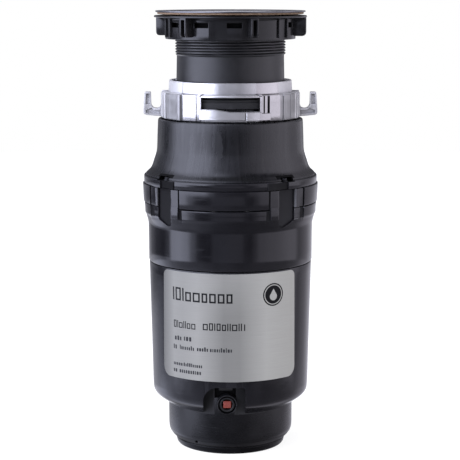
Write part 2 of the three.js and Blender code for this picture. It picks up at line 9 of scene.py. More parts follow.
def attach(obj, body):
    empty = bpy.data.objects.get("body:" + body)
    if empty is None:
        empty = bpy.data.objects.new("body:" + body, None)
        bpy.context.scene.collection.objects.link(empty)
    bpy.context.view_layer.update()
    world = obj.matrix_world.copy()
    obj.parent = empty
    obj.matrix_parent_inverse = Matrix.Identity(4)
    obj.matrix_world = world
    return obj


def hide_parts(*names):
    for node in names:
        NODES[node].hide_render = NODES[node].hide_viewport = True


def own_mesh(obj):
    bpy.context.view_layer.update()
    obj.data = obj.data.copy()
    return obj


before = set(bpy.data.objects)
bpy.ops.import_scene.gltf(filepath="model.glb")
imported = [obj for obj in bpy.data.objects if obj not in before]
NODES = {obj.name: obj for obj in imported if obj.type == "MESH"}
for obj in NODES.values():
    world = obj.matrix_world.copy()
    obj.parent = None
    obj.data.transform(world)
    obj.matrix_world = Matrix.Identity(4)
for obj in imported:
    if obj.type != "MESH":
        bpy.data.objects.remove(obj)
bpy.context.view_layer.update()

MM = 0.001

# ------------------------------------------------------------------ main sizes, mm (as in the CAD)
SCREW_R = 61.3
JOINT_AZ0 = -4.7
POCKETS = [40.3, 130.3, 220.3, 310.3]
PITCH = 2.117
SLEEVE_R = 41.0
OUTLET_Z = 168.0
INLET_Z = 239.5
RESET_X, RESET_Z = -2.5, 41.9
CABLE_Z = 19.0
BOLT_X = 52.7


def rad(a):
    return a * math.pi / 180


def polar(r, az):
    return (r * math.sin(rad(az)), -r * math.cos(rad(az)))


def smoothstep(a, b, x):
    t = np.clip((x - a) / (b - a), 0, 1)
    return t * t * (3 - 2 * t)


# ------------------------------------------------------------------ materials
class Mat:
    """Small helper round a node tree."""

    def __init__(self, name):
        self.m = bpy.data.materials.new(name)
        self.m.use_nodes = True
        self.t = self.m.node_tree
        self.n = self.t.nodes
        self.b = self.n["Principled BSDF"]
        self.tc = self.n.new("ShaderNodeTexCoord")

    def link(self, a, b):
        self.t.links.new(a, b)

    def mapping(self, scale):
        mp = self.n.new("ShaderNodeMapping")
        mp.inputs["Scale"].default_value = scale
        self.link(self.tc.outputs["Object"], mp.inputs["Vector"])
        return mp.outputs["Vector"]

    def noise(self, vec, scale, detail=4.0, rough=0.55, distort=0.0):
        t = self.n.new("ShaderNodeTexNoise")
        t.inputs["Scale"].default_value = scale
        t.inputs["Detail"].default_value = detail
        t.inputs["Roughness"].default_value = rough
        t.inputs["Distortion"].default_value = distort
        self.link(vec, t.inputs["Vector"])
        return t.outputs["Fac"]

    def voronoi(self, vec, scale, feature="F1"):
        t = self.n.new("ShaderNodeTexVoronoi")
        t.feature = feature
        t.inputs["Scale"].default_value = scale
        self.link(vec, t.inputs["Vector"])
        return t.outputs["Distance"]

    def ramp(self, fac, stops):
        r = self.n.new("ShaderNodeValToRGB")
        e = r.color_ramp.elements
        while len(e) < len(stops):
            e.new(0.5)
        for k, (p, c) in enumerate(stops):
            e[k].position = p
            e[k].color = (*c, 1.0) if len(c) == 3 else c
        self.link(fac, r.inputs["Fac"])
        return r.outputs["Color"]

    def span(self, fac, lo, hi, f0=0.3, f1=0.7):
        r = self.n.new("ShaderNodeMapRange")
        r.inputs["From Min"].default_value = f0
        r.inputs["From Max"].default_value = f1
        r.inputs["To Min"].default_value = lo
        r.inputs["To Max"].default_value = hi
        self.link(fac, r.inputs["Value"])
        return r.outputs["Result"]

    def math(self, op, a, b):
        m = self.n.new("ShaderNodeMath")
        m.operation = op
        for k, v in enumerate((a, b)):
            if isinstance(v, (int, float)):
                m.inputs[k].default_value = v
            else:
                self.link(v, m.inputs[k])
        return m.outputs["Value"]

    def mix(self, fac, a, b):
        m = self.n.new("ShaderNodeMix")
        m.data_type = "RGBA"
        ins = [i for i in m.inputs if i.enabled or True]
        fac_in = m.inputs[0]
        a_in = [i for i in m.inputs if i.name == "A" and i.type == "RGBA"][0]
        b_in = [i for i in m.inputs if i.name == "B" and i.type == "RGBA"][0]
        for sock, v in ((fac_in, fac), (a_in, a), (b_in, b)):
            if isinstance(v, (int, float)):
                sock.default_value = v
            elif isinstance(v, (tuple, list)):
                sock.default_value = (*v, 1.0)
            else:
                self.link(v, sock)
        return [o for o in m.outputs if o.type == "RGBA"][0]

    def bump(self, height, strength, distance, normal=None):
        b = self.n.new("ShaderNodeBump")
        b.inputs["Strength"].default_value = strength
        b.inputs["Distance"].default_value = distance
        self.link(height, b.inputs["Height"])
        if normal is not None:
            self.link(normal, b.inputs["Normal"])
        return b.outputs["Normal"]

    def polar_vec(self, kr, ka, kz):
        """Vector of (radius, azimuth, height) scaled, for marks that run round the axis."""
        s = self.n.new("ShaderNodeSeparateXYZ")
        self.link(self.tc.outputs["Object"], s.inputs[0])
        x2 = self.math("MULTIPLY", s.outputs[0], s.outputs[0])
        y2 = self.math("MULTIPLY", s.outputs[1], s.outputs[1])
        r = self.math("SQRT", self.math("ADD", x2, y2), 0.0)
        a = self.math("ARCTAN2", s.outputs[0], s.outputs[1])
        c = self.n.new("ShaderNodeCombineXYZ")
        self.link(self.math("MULTIPLY", r, kr), c.inputs[0])
        self.link(self.math("MULTIPLY", a, ka), c.inputs[1])
        self.link(self.math("MULTIPLY", s.outputs[2], kz), c.inputs[2])
        return c.outputs[0]

    def edges(self, lo=0.505, hi=0.56):
        g = self.n.new("ShaderNodeNewGeometry")
        return self.span(g.outputs["Pointiness"], 0.0, 1.0, lo, hi)

    def done(self, color=None, rough=None, normal=None, **sockets):
        if color is not None:
            if isinstance(color, (tuple, list)):
                self.b.inputs["Base Color"].default_value = (*color, 1.0)
            else:
                self.link(color, self.b.inputs["Base Color"])
        if rough is not None:
            if isinstance(rough, (int, float)):
                self.b.inputs["Roughness"].default_value = rough
            else:
                self.link(rough, self.b.inputs["Roughness"])
        if normal is not None:
            self.link(normal, self.b.inputs["Normal"])
        for k, v in sockets.items():
            self.b.inputs[k.replace("_", " ")].default_value = v
        return self.m


def plastic(name, dark, light, r0, r1, bump=0.12, grain=900, blot=35, spec=0.4, edge=0.35, flow=0.0, left_shade=0.0):
    """Moulded plastic: cloudy colour, uneven gloss, fine texture, faint scuffs, rubbed edges; optionally a painted
    shade darkening the part's left side.
    """
    m = Mat(name)
    v = m.mapping((1, 1, 1))
    cloud = m.noise(v, blot, 5, 0.6, 0.4)
    fine = m.noise(v, grain, 3, 0.6)
    scuff = m.noise(m.mapping((60, 60, 900)), 1.0, 2, 0.5)
    col = m.ramp(cloud, [(0.35, dark), (0.68, light)])
    if flow:
        streak = m.noise(m.polar_vec(20, 9.0, 14.0), 1.0, 5, 0.6, 1.2)
        col = m.mix(m.span(streak, 0.0, flow, 0.5, 0.72), col, tuple(min(1, c * 2.2) for c in light))
    col = m.mix(m.math("MULTIPLY", m.edges(), edge), col, tuple(min(1, c * 3.0 + 0.012) for c in light))
    # painted shade: the colour darkens towards the left (negative x) to offset the stronger light from that side
    if left_shade:
        sep = m.n.new("ShaderNodeSeparateXYZ")
        m.link(m.tc.outputs["Object"], sep.inputs[0])
        col = m.mix(m.span(sep.outputs[0], left_shade, 0.0, -0.030, 0.030), col, (0.0, 0.0, 0.0))
    rough = m.math("ADD", m.span(cloud, r0, r1), m.span(scuff, 0.0, 0.07, 0.55, 0.75))
    n1 = m.bump(fine, bump, 0.0002)
    n2 = m.bump(m.noise(v, 55, 2, 0.5), 0.06, 0.0012, n1)
    return m.done(col, rough, n2, Specular_IOR_Level=spec)


def neck_plastic():
    """Satin moulding with drifting gloss, faint streaks down its side and one dull flow mark at the front."""
    m = Mat("neck_mottled")
    v = m.mapping((1, 1, 1))
    cloud = m.noise(v, 42, 5, 0.62, 0.6)
    streak = m.noise(m.polar_vec(14, 11.0, 16.0), 1.0, 5, 0.62, 1.4)
    fine = m.noise(v, 750, 3, 0.6)
    sep = m.n.new("ShaderNodeSeparateXYZ")
    m.link(m.tc.outputs["Object"], sep.inputs[0])
    dx = m.math("MULTIPLY", m.math("ADD", sep.outputs[0], 0.0082), 380.0)
    dz = m.math("MULTIPLY", m.math("ADD", sep.outputs[2], -0.238), 110.0)
    d2 = m.math("ADD", m.math("MULTIPLY", dx, dx), m.math("MULTIPLY", dz, dz))
    d2 = m.math("ADD", d2, m.span(m.noise(v, 260, 4, 0.6), -0.8, 0.8))
    front = m.span(sep.outputs[1], 1.0, 0.0, -0.045, -0.030)
    mark = m.math("MULTIPLY", m.span(d2, 1.0, 0.0, 0.3, 1.3), front)
    col = m.ramp(cloud, [(0.35, (0.0020, 0.0020, 0.0026)), (0.68, (0.0042, 0.0043, 0.0052))])
    col = m.mix(m.span(streak, 0.0, 0.35, 0.55, 0.75), col, (0.0085, 0.0085, 0.010))
    col = m.mix(m.math("MULTIPLY", m.edges(), 0.2), col, (0.03, 0.03, 0.034))
    rough = m.math("ADD", m.span(streak, 0.20, 0.36, 0.35, 0.68), m.span(cloud, -0.02, 0.06))
    rough = m.math("ADD", rough, m.math("MULTIPLY", mark, 0.32))
    n1 = m.bump(fine, 0.15, 0.0002)
    n2 = m.bump(streak, 0.10, 0.0010, n1)
    n3 = m.bump(m.noise(v, 95, 4, 0.6, 0.5), 0.10, 0.0012, n2)
    return m.done(col, rough, n3, Specular_IOR_Level=0.58)


def metal(name, dark, light, r0, r1, grain=500, bump=0.12, lathe=0.0, edge=0.4, cast=0.0, crease_shade=0.0, metallic=1.0):
    """Metal with cloudy tone, turned or rolled lines, brighter rubbed edges, and optionally painted shade in creases
    and hollows.
    """
    m = Mat(name)
    v = m.mapping((1, 1, 1))
    cloud = m.noise(v, 60, 5, 0.6, 0.3)
    col = m.ramp(cloud, [(0.3, dark), (0.7, light)])
    fine = m.noise(v, grain, 4, 0.6)
    lines = m.noise(m.polar_vec(2600, 1.5, 2600), 1.0, 3, 0.6)
    col = m.mix(m.span(lines, 0.0, 0.35 * lathe, 0.4, 0.7), col, tuple(c * 0.72 for c in dark))
    col = m.mix(m.math("MULTIPLY", m.edges(), edge), col, tuple(min(1, c * 1.25) for c in light))
    # painted shade: ambient occlusion darkens the colour in creases and hollows
    if crease_shade:
        ao = m.n.new("ShaderNodeAmbientOcclusion")
        ao.samples = 8
        ao.inputs["Distance"].default_value = 0.0022
        col = m.mix(m.span(ao.outputs["AO"], crease_shade, 0.0, 0.35, 0.85), col, tuple(c * 0.12 for c in dark))
    rough = m.math("ADD", m.span(cloud, r0, r1), m.span(lines, 0.0, 0.1 * lathe, 0.4, 0.7))
    n = m.bump(fine, bump, 0.00025)
    if lathe:
        n = m.bump(lines, 0.12 * lathe, 0.0002, n)
    if cast:
        n = m.bump(m.noise(v, 210, 4, 0.6), cast, 0.0006, n)
    return m.done(col, rough, n, Metallic=metallic)


M = {}
M["housing"] = plastic("housing_gloss", (0.0046, 0.0044, 0.0056), (0.0074, 0.0072, 0.0088), 0.07, 0.13, 0.05, 1400, 30, 0.44, 0.25)
M["neck"] = neck_plastic()
M["nut"] = plastic("nut_gloss", (0.0045, 0.0044, 0.0050), (0.0075, 0.0073, 0.0082), 0.14, 0.22, 0.06, 1300, 40, 0.45, 0.25)
# matt finish for the pockets and grooves, and a darker copy of it for the corner blocks as painted shade; both darken
# their left side as painted shade
M["matte"] = plastic("housing_matte", (0.0130, 0.0128, 0.0146), (0.0175, 0.0173, 0.0192), 0.6, 0.75, 0.15, 1200, 45, 0.06, 0.2, left_shade=0.55)
M["block"] = plastic("housing_block", (0.0085, 0.0083, 0.0092), (0.0120, 0.0118, 0.0130), 0.6, 0.75, 0.15, 1200, 45, 0.06, 0.2, left_shade=0.5)
M["black_steel"] = metal("black_steel", (0.030, 0.030, 0.032), (0.060, 0.060, 0.063), 0.35, 0.5, 700, 0.2, 0.2, 0.5)
# near-black recess material: painted shade for the nut's hub, the joint's notches and the reset recess
M["shade"] = plastic("painted_recess_shade", (0.0018, 0.0018, 0.0019), (0.0034, 0.0034, 0.0036), 0.6, 0.8, 0.15, 1000, 60, 0.08, 0.1)
M["sleeve"] = plastic("sleeve_satin", (0.0075, 0.0075, 0.0082), (0.0125, 0.0125, 0.0135), 0.30, 0.42, 0.2, 1000, 60, 0.52, 0.25, flow=0.05)
M["base"] = plastic("base_satin", (0.0030, 0.0030, 0.0035), (0.0050, 0.0049, 0.0056), 0.20, 0.32, 0.12, 1100, 45, 0.31, 0.25)
# darker, duller copy for the base's lower band: painted shade near the floor
M["base_foot_shade"] = plastic("base_foot_shaded", (0.0026, 0.0026, 0.0030), (0.0044, 0.0043, 0.0050), 0.30, 0.42, 0.12, 1100, 45, 0.12, 0.2)
# lighter copy for the base inside the alcove: painted light to offset the alcove's shade
M["alcove"] = plastic("alcove_painted_light", (0.014, 0.014, 0.0155), (0.022, 0.022, 0.024), 0.5, 0.65, 0.15, 1100, 45, 0.25, 0.2)
# bright rim material: painted highlight on the pockets' rounded rims
M["rim_highlight"] = plastic("pocket_rim_highlight", (0.050, 0.050, 0.056), (0.080, 0.080, 0.088), 0.25, 0.4, 0.1, 1100, 45, 0.5, 0.2)
M["rubber"] = plastic("rubber_black", (0.010, 0.010, 0.0105), (0.020, 0.020, 0.021), 0.55, 0.75, 0.3, 800, 70, 0.35, 0.15)
M["phenolic"] = plastic("phenolic_brown", (0.045, 0.020, 0.009), (0.085, 0.042, 0.020), 0.45, 0.62, 0.25, 700, 90, 0.4, 0.3)
M["epoxy"] = plastic("epoxy_dark", (0.012, 0.012, 0.014), (0.022, 0.022, 0.025), 0.4, 0.55, 0.25, 900, 80, 0.4, 0.2)
M["carbon"] = plastic("carbon_brush", (0.016, 0.016, 0.016), (0.040, 0.040, 0.041), 0.45, 0.7, 0.35, 1500, 120, 0.4, 0.4)
M["ferrite"] = plastic("ferrite_grey", (0.022, 0.022, 0.024), (0.045, 0.045, 0.048), 0.55, 0.8, 0.4, 900, 110, 0.35, 0.35)
M["zinc"] = metal("zinc_cast", (0.375, 0.368, 0.368), (0.49, 0.480, 0.478), 0.14, 0.26, 420, 0.15, 0.1, 0.2, cast=0.12, crease_shade=0.9)
# lighter copies of the cast zinc (painted light) and one darker copy (painted shade), put on facets by how light falls
# on them
M["zinc_face_lit"] = metal("zinc_cast_faces_lit", (0.43, 0.427, 0.432), (0.55, 0.545, 0.548), 0.16, 0.28, 420, 0.15, 0.1, 0.2, cast=0.12, crease_shade=0.9, metallic=0.72)
M["zinc_shade"] = metal("zinc_cast_shade", (0.245, 0.243, 0.248), (0.33, 0.328, 0.333), 0.3, 0.45, 420, 0.15, 0.1, 0.4, cast=0.2, crease_shade=0.85, metallic=0.6)
M["zinc_end_lit"] = metal("zinc_cast_ends_lit", (0.44, 0.437, 0.445), (0.58, 0.577, 0.586), 0.36, 0.52, 420, 0.2, 0.1, 0.5, cast=0.25, crease_shade=0.85, metallic=0.45)
M["stainless"] = metal("stainless_brushed", (0.52, 0.52, 0.53), (0.70, 0.70, 0.71), 0.18, 0.30, 600, 0.08, 0.9, 0.3)
M["steel"] = metal("zinc_plated", (0.42, 0.42, 0.44), (0.60, 0.60, 0.61), 0.25, 0.42, 700, 0.15, 0.2, 0.5)
M["dark_steel"] = metal("dark_steel", (0.16, 0.16, 0.17), (0.28, 0.28, 0.29), 0.32, 0.5, 700, 0.2, 0.3, 0.6)
M["lamination"] = metal("lamination_steel", (0.20, 0.20, 0.21), (0.36, 0.36, 0.37), 0.4, 0.55, 500, 0.2, 0.0, 0.4)
M["aluminium"] = metal("aluminium_cast", (0.40, 0.41, 0.42), (0.58, 0.59, 0.60), 0.38, 0.55, 450, 0.3, 0.1, 0.4, cast=0.2)
M["bronze"] = metal("bronze_sintered", (0.30, 0.17, 0.07), (0.46, 0.28, 0.13), 0.4, 0.55, 900, 0.3, 0.0, 0.4)
M["brass"] = metal("brass_stamped", (0.50, 0.34, 0.12), (0.68, 0.50, 0.22), 0.25, 0.4, 600, 0.1, 0.0, 0.4)
M["copper"] = metal("copper_bright", (0.48, 0.20, 0.10), (0.70, 0.33, 0.18), 0.22, 0.36, 600, 0.1, 0.6, 0.3)
M["green"] = metal("green_screw", (0.02, 0.16, 0.05), (0.04, 0.28, 0.09), 0.3, 0.45, 700, 0.15, 0.1, 0.6)


def lines_material(name, base, groove, r0, r1, axis, pitch, metal_on, depth=0.5):
    """Stacked sheets or wound wire: fine lines along Z (stack) or round the axis."""
    m = Mat(name)
    w = m.n.new("ShaderNodeTexWave")
    w.bands_direction = axis
    w.inputs["Scale"].default_value = pitch
    w.inputs["Distortion"].default_value = 1.2 if metal_on else 3.0
    w.inputs["Detail"].default_value = 2.0
    m.link(m.mapping((1, 1, 1)), w.inputs["Vector"])
    fac = w.outputs["Fac"]
    cloud = m.noise(m.mapping((1, 1, 1)), 70, 4)
    col = m.ramp(fac, [(0.1, groove), (0.55, base)])
    col = m.mix(m.span(cloud, 0.0, 0.35), col, tuple(c * 0.6 for c in base))
    return m.done(col, m.span(cloud, r0, r1), m.bump(fac, depth, 0.0003), Metallic=1.0 if metal_on else 0.0)


M["stack"] = lines_material("lamination_stack", (0.34, 0.34, 0.35), (0.10, 0.10, 0.105), 0.35, 0.5, "Z", 320, True)
M["winding"] = lines_material("copper_winding", (0.42, 0.13, 0.045), (0.10, 0.025, 0.01), 0.28, 0.42, "Z", 260, False, 0.8)


def fibre():
    m = Mat("gasket_fibre")
    v = m.mapping((1, 1, 1))
    speck = m.noise(v, 420, 6, 0.75)
    strand = m.noise(m.polar_vec(1500, 60, 400), 1.0, 4, 0.6, 1.0)
    col = m.ramp(speck, [(0.3, (0.17, 0.105, 0.068)), (0.55, (0.30, 0.215, 0.145)), (0.75, (0.42, 0.32, 0.235))])
    col = m.mix(m.span(strand, 0.0, 0.5, 0.5, 0.75), col, (0.20, 0.11, 0.065))
    return m.done(col, m.span(speck, 0.75, 0.95), m.bump(speck, 0.5, 0.0004), Specular_IOR_Level=0.25)


M["fibre"] = fibre()


def label_foil():
    """Brushed silver foil under a clear film, darker down its middle, with painted shade darkening its left side."""
    m = Mat("label_foil")
    brush = m.noise(m.polar_vec(10, 3.0, 4200), 1.0, 4, 0.65)
    cloud = m.noise(m.mapping((1, 1, 1)), 38, 4, 0.5)
    sep = m.n.new("ShaderNodeSeparateXYZ")
    m.link(m.tc.outputs["Object"], sep.inputs[0])
    side = m.span(m.math("ABSOLUTE", m.math("ADD", sep.outputs[0], -0.001), 0.0), 0.0, 1.0, 0.006, 0.026)
    col = m.ramp(brush, [(0.3, (0.325, 0.324, 0.303)), (0.7, (0.371, 0.369, 0.346))])
    col = m.mix(m.span(cloud, 0.0, 0.2), col, (0.323, 0.323, 0.303))
    col = m.mix(side, m.mix(m.span(sep.outputs[2], 0.66, 0.44, 0.112, 0.142), col, (0.112, 0.112, 0.106)), col)
    # painted shade: the left side of the label is darkened to offset the stronger light from the left
    col = m.mix(m.span(sep.outputs[0], 0.41, 0.0, -0.036, 0.008), col, (0.0, 0.0, 0.0))
    col = m.mix(m.span(sep.outputs[0], 0.55, 0.0, -0.0515, -0.0425), col, (0.0, 0.0, 0.0))
    rough = m.span(brush, 0.48, 0.60)
    return m.done(col, rough, m.bump(brush, 0.05, 0.0001), Specular_IOR_Level=0.25)


M["label"] = label_foil()


def ink(name, dark, light):
    m = Mat(name)
    cloud = m.noise(m.mapping((1, 1, 1)), 900, 3, 0.5)
    return m.done(m.ramp(cloud, [(0.3, dark), (0.7, light)]), m.span(cloud, 0.45, 0.6), m.bump(cloud, 0.1, 0.0001), Specular_IOR_Level=0.12)


M["ink"] = ink("label_ink", (0.0045, 0.0045, 0.005), (0.009, 0.009, 0.010))
M["ink_grey"] = ink("label_ink_grey", (0.022, 0.022, 0.024), (0.034, 0.034, 0.037))


def red_plastic():
    m = Mat("button_red")
    v = m.mapping((1, 1, 1))
    cloud = m.noise(v, 260, 4, 0.6)
    fine = m.noise(v, 1500, 3, 0.6)
    col = m.ramp(cloud, [(0.3, (0.125, 0.013, 0.009)), (0.7, (0.175, 0.022, 0.014))])
    col = m.mix(m.math("MULTIPLY", m.edges(), 0.4), col, (0.30, 0.07, 0.05))
    return m.done(col, m.span(cloud, 0.32, 0.45), m.bump(fine, 0.15, 0.0002))


M["red"] = red_plastic()
M["bush"] = plastic("bushing_dark", (0.0085, 0.0085, 0.0088), (0.0150, 0.0148, 0.0152), 0.30, 0.45, 0.15, 1200, 150, 0.35, 0.3)

# ------------------------------------------------------------------ mesh helpers
def mesh_object(name, verts, faces):
    me = bpy.data.meshes.new(name)
    me.from_pydata([tuple(v) for v in verts], [], faces)
    me.update()
    ob = bpy.data.objects.new(name, me)
    bpy.context.scene.collection.objects.link(ob)
    bm = bmesh.new()
    bm.from_mesh(me)
    bmesh.ops.remove_doubles(bm, verts=bm.verts, dist=2e-6)
    bmesh.ops.recalc_face_normals(bm, faces=bm.faces)
    bm.to_mesh(me)
    bm.free()
    return ob


def azimuths(n, edges=(), e=0.1):
    """Sorted azimuths round the turn in degrees, with a close pair at each edge."""
    a = list(np.arange(n) * 360.0 / n)
    ed = sorted(x % 360 for x in edges)
    keep = [x for x in a if all(min(abs(x - y), 360 - abs(x - y)) > 0.35 for y in ed)]
    for y in ed:
        keep += [(y - 3 * e) % 360, (y - e) % 360, (y + e) % 360, (y + 3 * e) % 360]
    return np.array(sorted(set(round(x, 4) for x in keep)))


def revolve(name, rows, n=160, edges=(), closed=True):
    """Turned solid. rows is a closed loop of (r, z); either may be a function of azimuth in degrees."""
    az = azimuths(n, edges)
    k = len(az)
    s, c = np.sin(np.radians(az)), -np.cos(np.radians(az))
    verts, index = [], []
    for r, z in rows:
        rr = np.asarray(r(az) if callable(r) else np.full(k, float(r)))
        zz = np.asarray(z(az) if callable(z) else np.full(k, float(z)))
        if rr.max() < 1e-6:
            index.append([len(verts)] * k)
            verts.append((0, 0, float(zz[0]) * MM))
            continue
        index.append(list(range(len(verts), len(verts) + k)))
        verts.extend(zip(rr * s * MM, rr * c * MM, zz * MM))
    faces = []
    m = len(rows)
    for i in range(m if closed else m - 1):
        a, b = index[i], index[(i + 1) % m]
        if a[0] == a[-1] and b[0] == b[-1]:
            continue
        for j in range(k):
            q = (j + 1) % k
            f = [a[j], b[j], b[q], a[q]]
            f = [x for t, x in enumerate(f) if x not in f[:t]]
            if len(f) > 2:
                faces.append(f)
    return mesh_object(name, verts, faces)


def extrude(name, outline, y0, y1, plane="xz"):
    """Prism of a closed 2-D outline. plane xz: outline in (x, z) carried along y; xy: outline in (x, y) carried along z."""
    n = len(outline)
    if plane == "xz":
        v = [(x, y0, z) for x, z in outline] + [(x, y1, z) for x, z in outline]
    elif plane == "xy":
        v = [(x, y, y0) for x, y in outline] + [(x, y, y1) for x, y in outline]
    else:  # yz carried along x
        v = [(y0, y, z) for y, z in outline] + [(y1, y, z) for y, z in outline]
    v = [tuple(c * MM for c in p) for p in v]
    faces = [list(range(n)), list(range(2 * n - 1, n - 1, -1))]
    for i in range(n):
        j = (i + 1) % n
        faces.append([i, j, n + j, n + i])
    return mesh_object(name, v, faces)


def boxed(name, lo, hi):
    return extrude(name, [(lo[0], lo[1]), (hi[0], lo[1]), (hi[0], hi[1]), (lo[0], hi[1])], lo[2], hi[2], "xy")


def tube_y(name, x, z, r, y0, y1, n=64):
    return extrude(name, [(x + r * math.cos(2 * math.pi * i / n), z + r * math.sin(2 * math.pi * i / n)) for i in range(n)], y0, y1, "xz")


def tube_z(name, x, y, r, z0, z1, n=48):
    return extrude(name, [(x + r * math.cos(2 * math.pi * i / n), y + r * math.sin(2 * math.pi * i / n)) for i in range(n)], z0, z1, "xy")


def turned_to(ob, az):
    """A shape built at the front, turned to an azimuth."""
    ob.data.transform(Matrix.Rotation(rad(az), 4, "Z"))
    return ob


def sector(name, r0, r1, z0, z1, a0, a1, step=1.0):
    """Part of a ring; z0 and z1 may be functions of azimuth."""
    n = max(2, int(abs(a1 - a0) / step))
    v, f = [], []
    for i in range(n + 1):
        a = a0 + (a1 - a0) * i / n
        l = z0(a) if callable(z0) else z0
        h = z1(a) if callable(z1) else z1
        p0, p1 = polar(r0, a), polar(r1, a)
        v += [(*p0, l), (*p1, l), (*p1, h), (*p0, h)]
    for i in range(n):
        b = 4 * i
        for k in range(4):
            q = (k + 1) % 4
            f.append([b + k, b + q, b + 4 + q, b + 4 + k])
    f.append([0, 3, 2, 1])
    f.append([4 * n, 4 * n + 1, 4 * n + 2, 4 * n + 3])
    return mesh_object(name, [tuple(c * MM for c in p) for p in v], f)


def apply_modifiers(ob):
    dg = bpy.context.evaluated_depsgraph_get()
    me = bpy.data.meshes.new_from_object(ob.evaluated_get(dg))
    ob.modifiers.clear()
    old = ob.data
    ob.data = me
    bpy.data.meshes.remove(old)
    return ob


def drop(ob):
    me = ob.data
    bpy.data.objects.remove(ob)
    bpy.data.meshes.remove(me)


def cut(ob, tools, op="DIFFERENCE"):
    """Boolean with a list of closed meshes, joined first into one."""
    if not tools:
        return ob
    tool = join(tools[0].name, tools) if len(tools) > 1 else tools[0]
    m = ob.modifiers.new("cut", "BOOLEAN")
    m.operation = op
    m.solver = "EXACT"
    m.use_self = False
    m.object = tool
    apply_modifiers(ob)
    drop(tool)
    return ob


def bevel(ob, width=0.3, segments=2, angle=35):
    m = ob.modifiers.new("bevel", "BEVEL")
    m.width = width * MM
    m.segments = segments
    m.limit_method = "ANGLE"
    m.angle_limit = rad(angle)
    m.harden_normals = False
    m.use_clamp_overlap = True
    return apply_modifiers(ob)


def join(name, obs):
    bm = bmesh.new()
    for o in obs:
        bm.from_mesh(o.data)
    me = bpy.data.meshes.new(name)
    bm.to_mesh(me)
    bm.free()
    for o in obs:
        drop(o)
    ob = bpy.data.objects.new(name, me)
    bpy.context.scene.collection.objects.link(ob)
    return ob


def finish_piece(ob, name, material, body, replaces=(), angle=38):
    ob.name = name
    ob.data.name = name
    ob.data.materials.clear()
    ob.data.materials.append(M[material])
    bm = bmesh.new()
    bm.from_mesh(ob.data)
    lim = rad(angle)
    for f in bm.faces:
        f.smooth = True
    for e in bm.edges:
        e.smooth = len(e.link_faces) == 2 and e.calc_face_angle(0.0) < lim
    bm.to_mesh(ob.data)
    bm.free()
    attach(ob, body)
    if replaces:
        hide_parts(*replaces)
    return ob


def fillet(points, radius=0.4, steps=4, keep=()):
    """Rounds the corners of a closed (r, z) loop by a quadratic through each corner."""
    out = []
    n = len(points)
    for i, p in enumerate(points):
        a, b = np.array(points[i - 1], float), np.array(points[(i + 1) % n], float)
        q = np.array(p, float)
        la, lb = np.linalg.norm(a - q), np.linalg.norm(b - q)
        if i in keep or la < 1e-6 or lb < 1e-6 or q[0] < 1e-6:
            out.append(tuple(q))
            continue
        ua, ub = (a - q) / la, (b - q) / lb
        turn = math.degrees(math.acos(max(-1, min(1, float(np.dot(-ua, ub))))))
        if turn < 12:
            out.append(tuple(q))
            continue
        d = min(radius, la * 0.45, lb * 0.45)
        s, e = q + ua * d, q + ub * d
        for k in range(steps + 1):
            t = k / steps
            out.append(tuple((1 - t) ** 2 * s + 2 * t * (1 - t) * q + t * t * e))
    return out


def paint(ob, extra, test):
    """Second material on the faces whose centre passes the test (azimuth, radius, z in mm)."""
    ob.data.materials.append(M[extra])
    k = len(ob.data.materials) - 1
    for p in ob.data.polygons:
        c = p.center / MM
        az = math.degrees(math.atan2(c.x, -c.y))
        if test(az, math.hypot(c.x, c.y), c.z, p.normal):
            p.material_index = k


# ------------------------------------------------------------------ camera, light, floor
cam_data = bpy.data.cameras.new("camera")
cam = bpy.data.objects.new("camera", cam_data)
bpy.context.scene.collection.objects.link(cam)
cam_data.lens = 122.73
cam_data.sensor_width = 36.0
cam_data.clip_start, cam_data.clip_end = 0.05, 60
cam.location = (-0.00031, -1.20462, 0.355809)
cam.rotation_euler = (math.pi / 2 - 0.154918437, 0, 0)
bpy.context.scene.camera = cam
bpy.context.scene.view_settings.view_transform = "Standard"
bpy.context.scene.view_settings.look = "None"

world = bpy.data.worlds.new("studio")
bpy.context.scene.world = world
world.use_nodes = True
wt = world.node_tree
wn = wt.nodes
for nd in list(wn):
    wn.remove(nd)
w_out = wn.new("ShaderNodeOutputWorld")
w_tc = wn.new("ShaderNodeTexCoord")
w_sep = wn.new("ShaderNodeSeparateXYZ")
wt.links.new(w_tc.outputs["Generated"], w_sep.inputs[0])
# azimuth of the ray from the front: 0 straight at -Y, positive to +X, as a share of half a turn
w_neg = wn.new("ShaderNodeMath"); w_neg.operation = "MULTIPLY"; w_neg.inputs[1].default_value = -1.0
wt.links.new(w_sep.outputs[1], w_neg.inputs[0])
w_at = wn.new("ShaderNodeMath"); w_at.operation = "ARCTAN2"
wt.links.new(w_sep.outputs[0], w_at.inputs[0])
wt.links.new(w_neg.outputs[0], w_at.inputs[1])
w_map = wn.new("ShaderNodeMapRange")
w_map.inputs["From Min"].default_value = -math.pi
w_map.inputs["From Max"].default_value = math.pi
wt.links.new(w_at.outputs[0], w_map.inputs["Value"])
RGBA = lambda node, nm: [i for i in node.inputs if i.name == nm and i.type == "RGBA"][0]
TOP_LEVEL = 5.0
TINT_AZ = [-180, -150, -120, -30, 0, 25, 60, 130, 180]
TINT = [(0.97, 0.97, 1.08), (0.96, 0.97, 1.10), (0.93, 0.97, 1.20), (0.93, 0.97, 1.22), (0.93, 0.96, 1.22), (0.98, 0.955, 1.14), (0.99, 0.955, 1.11), (0.99, 0.955, 1.10), (0.97, 0.97, 1.08)]


def studio_ramp(stops):
    """Cards and gaps round the turn: (azimuth, level)."""
    r = wn.new("ShaderNodeValToRGB")
    r.color_ramp.interpolation = "EASE"
    e = r.color_ramp.elements
    while len(e) < len(stops):
        e.new(0.5)
    for k, (a, v) in enumerate(stops):
        e[k].position = (a + 180) / 360
        e[k].color = (*[v / TOP_LEVEL * float(np.interp(a, TINT_AZ, [t[c] for t in TINT])) for c in range(3)], 1.0)
    wt.links.new(w_map.outputs[0], r.inputs["Fac"])
    return r.outputs[0]


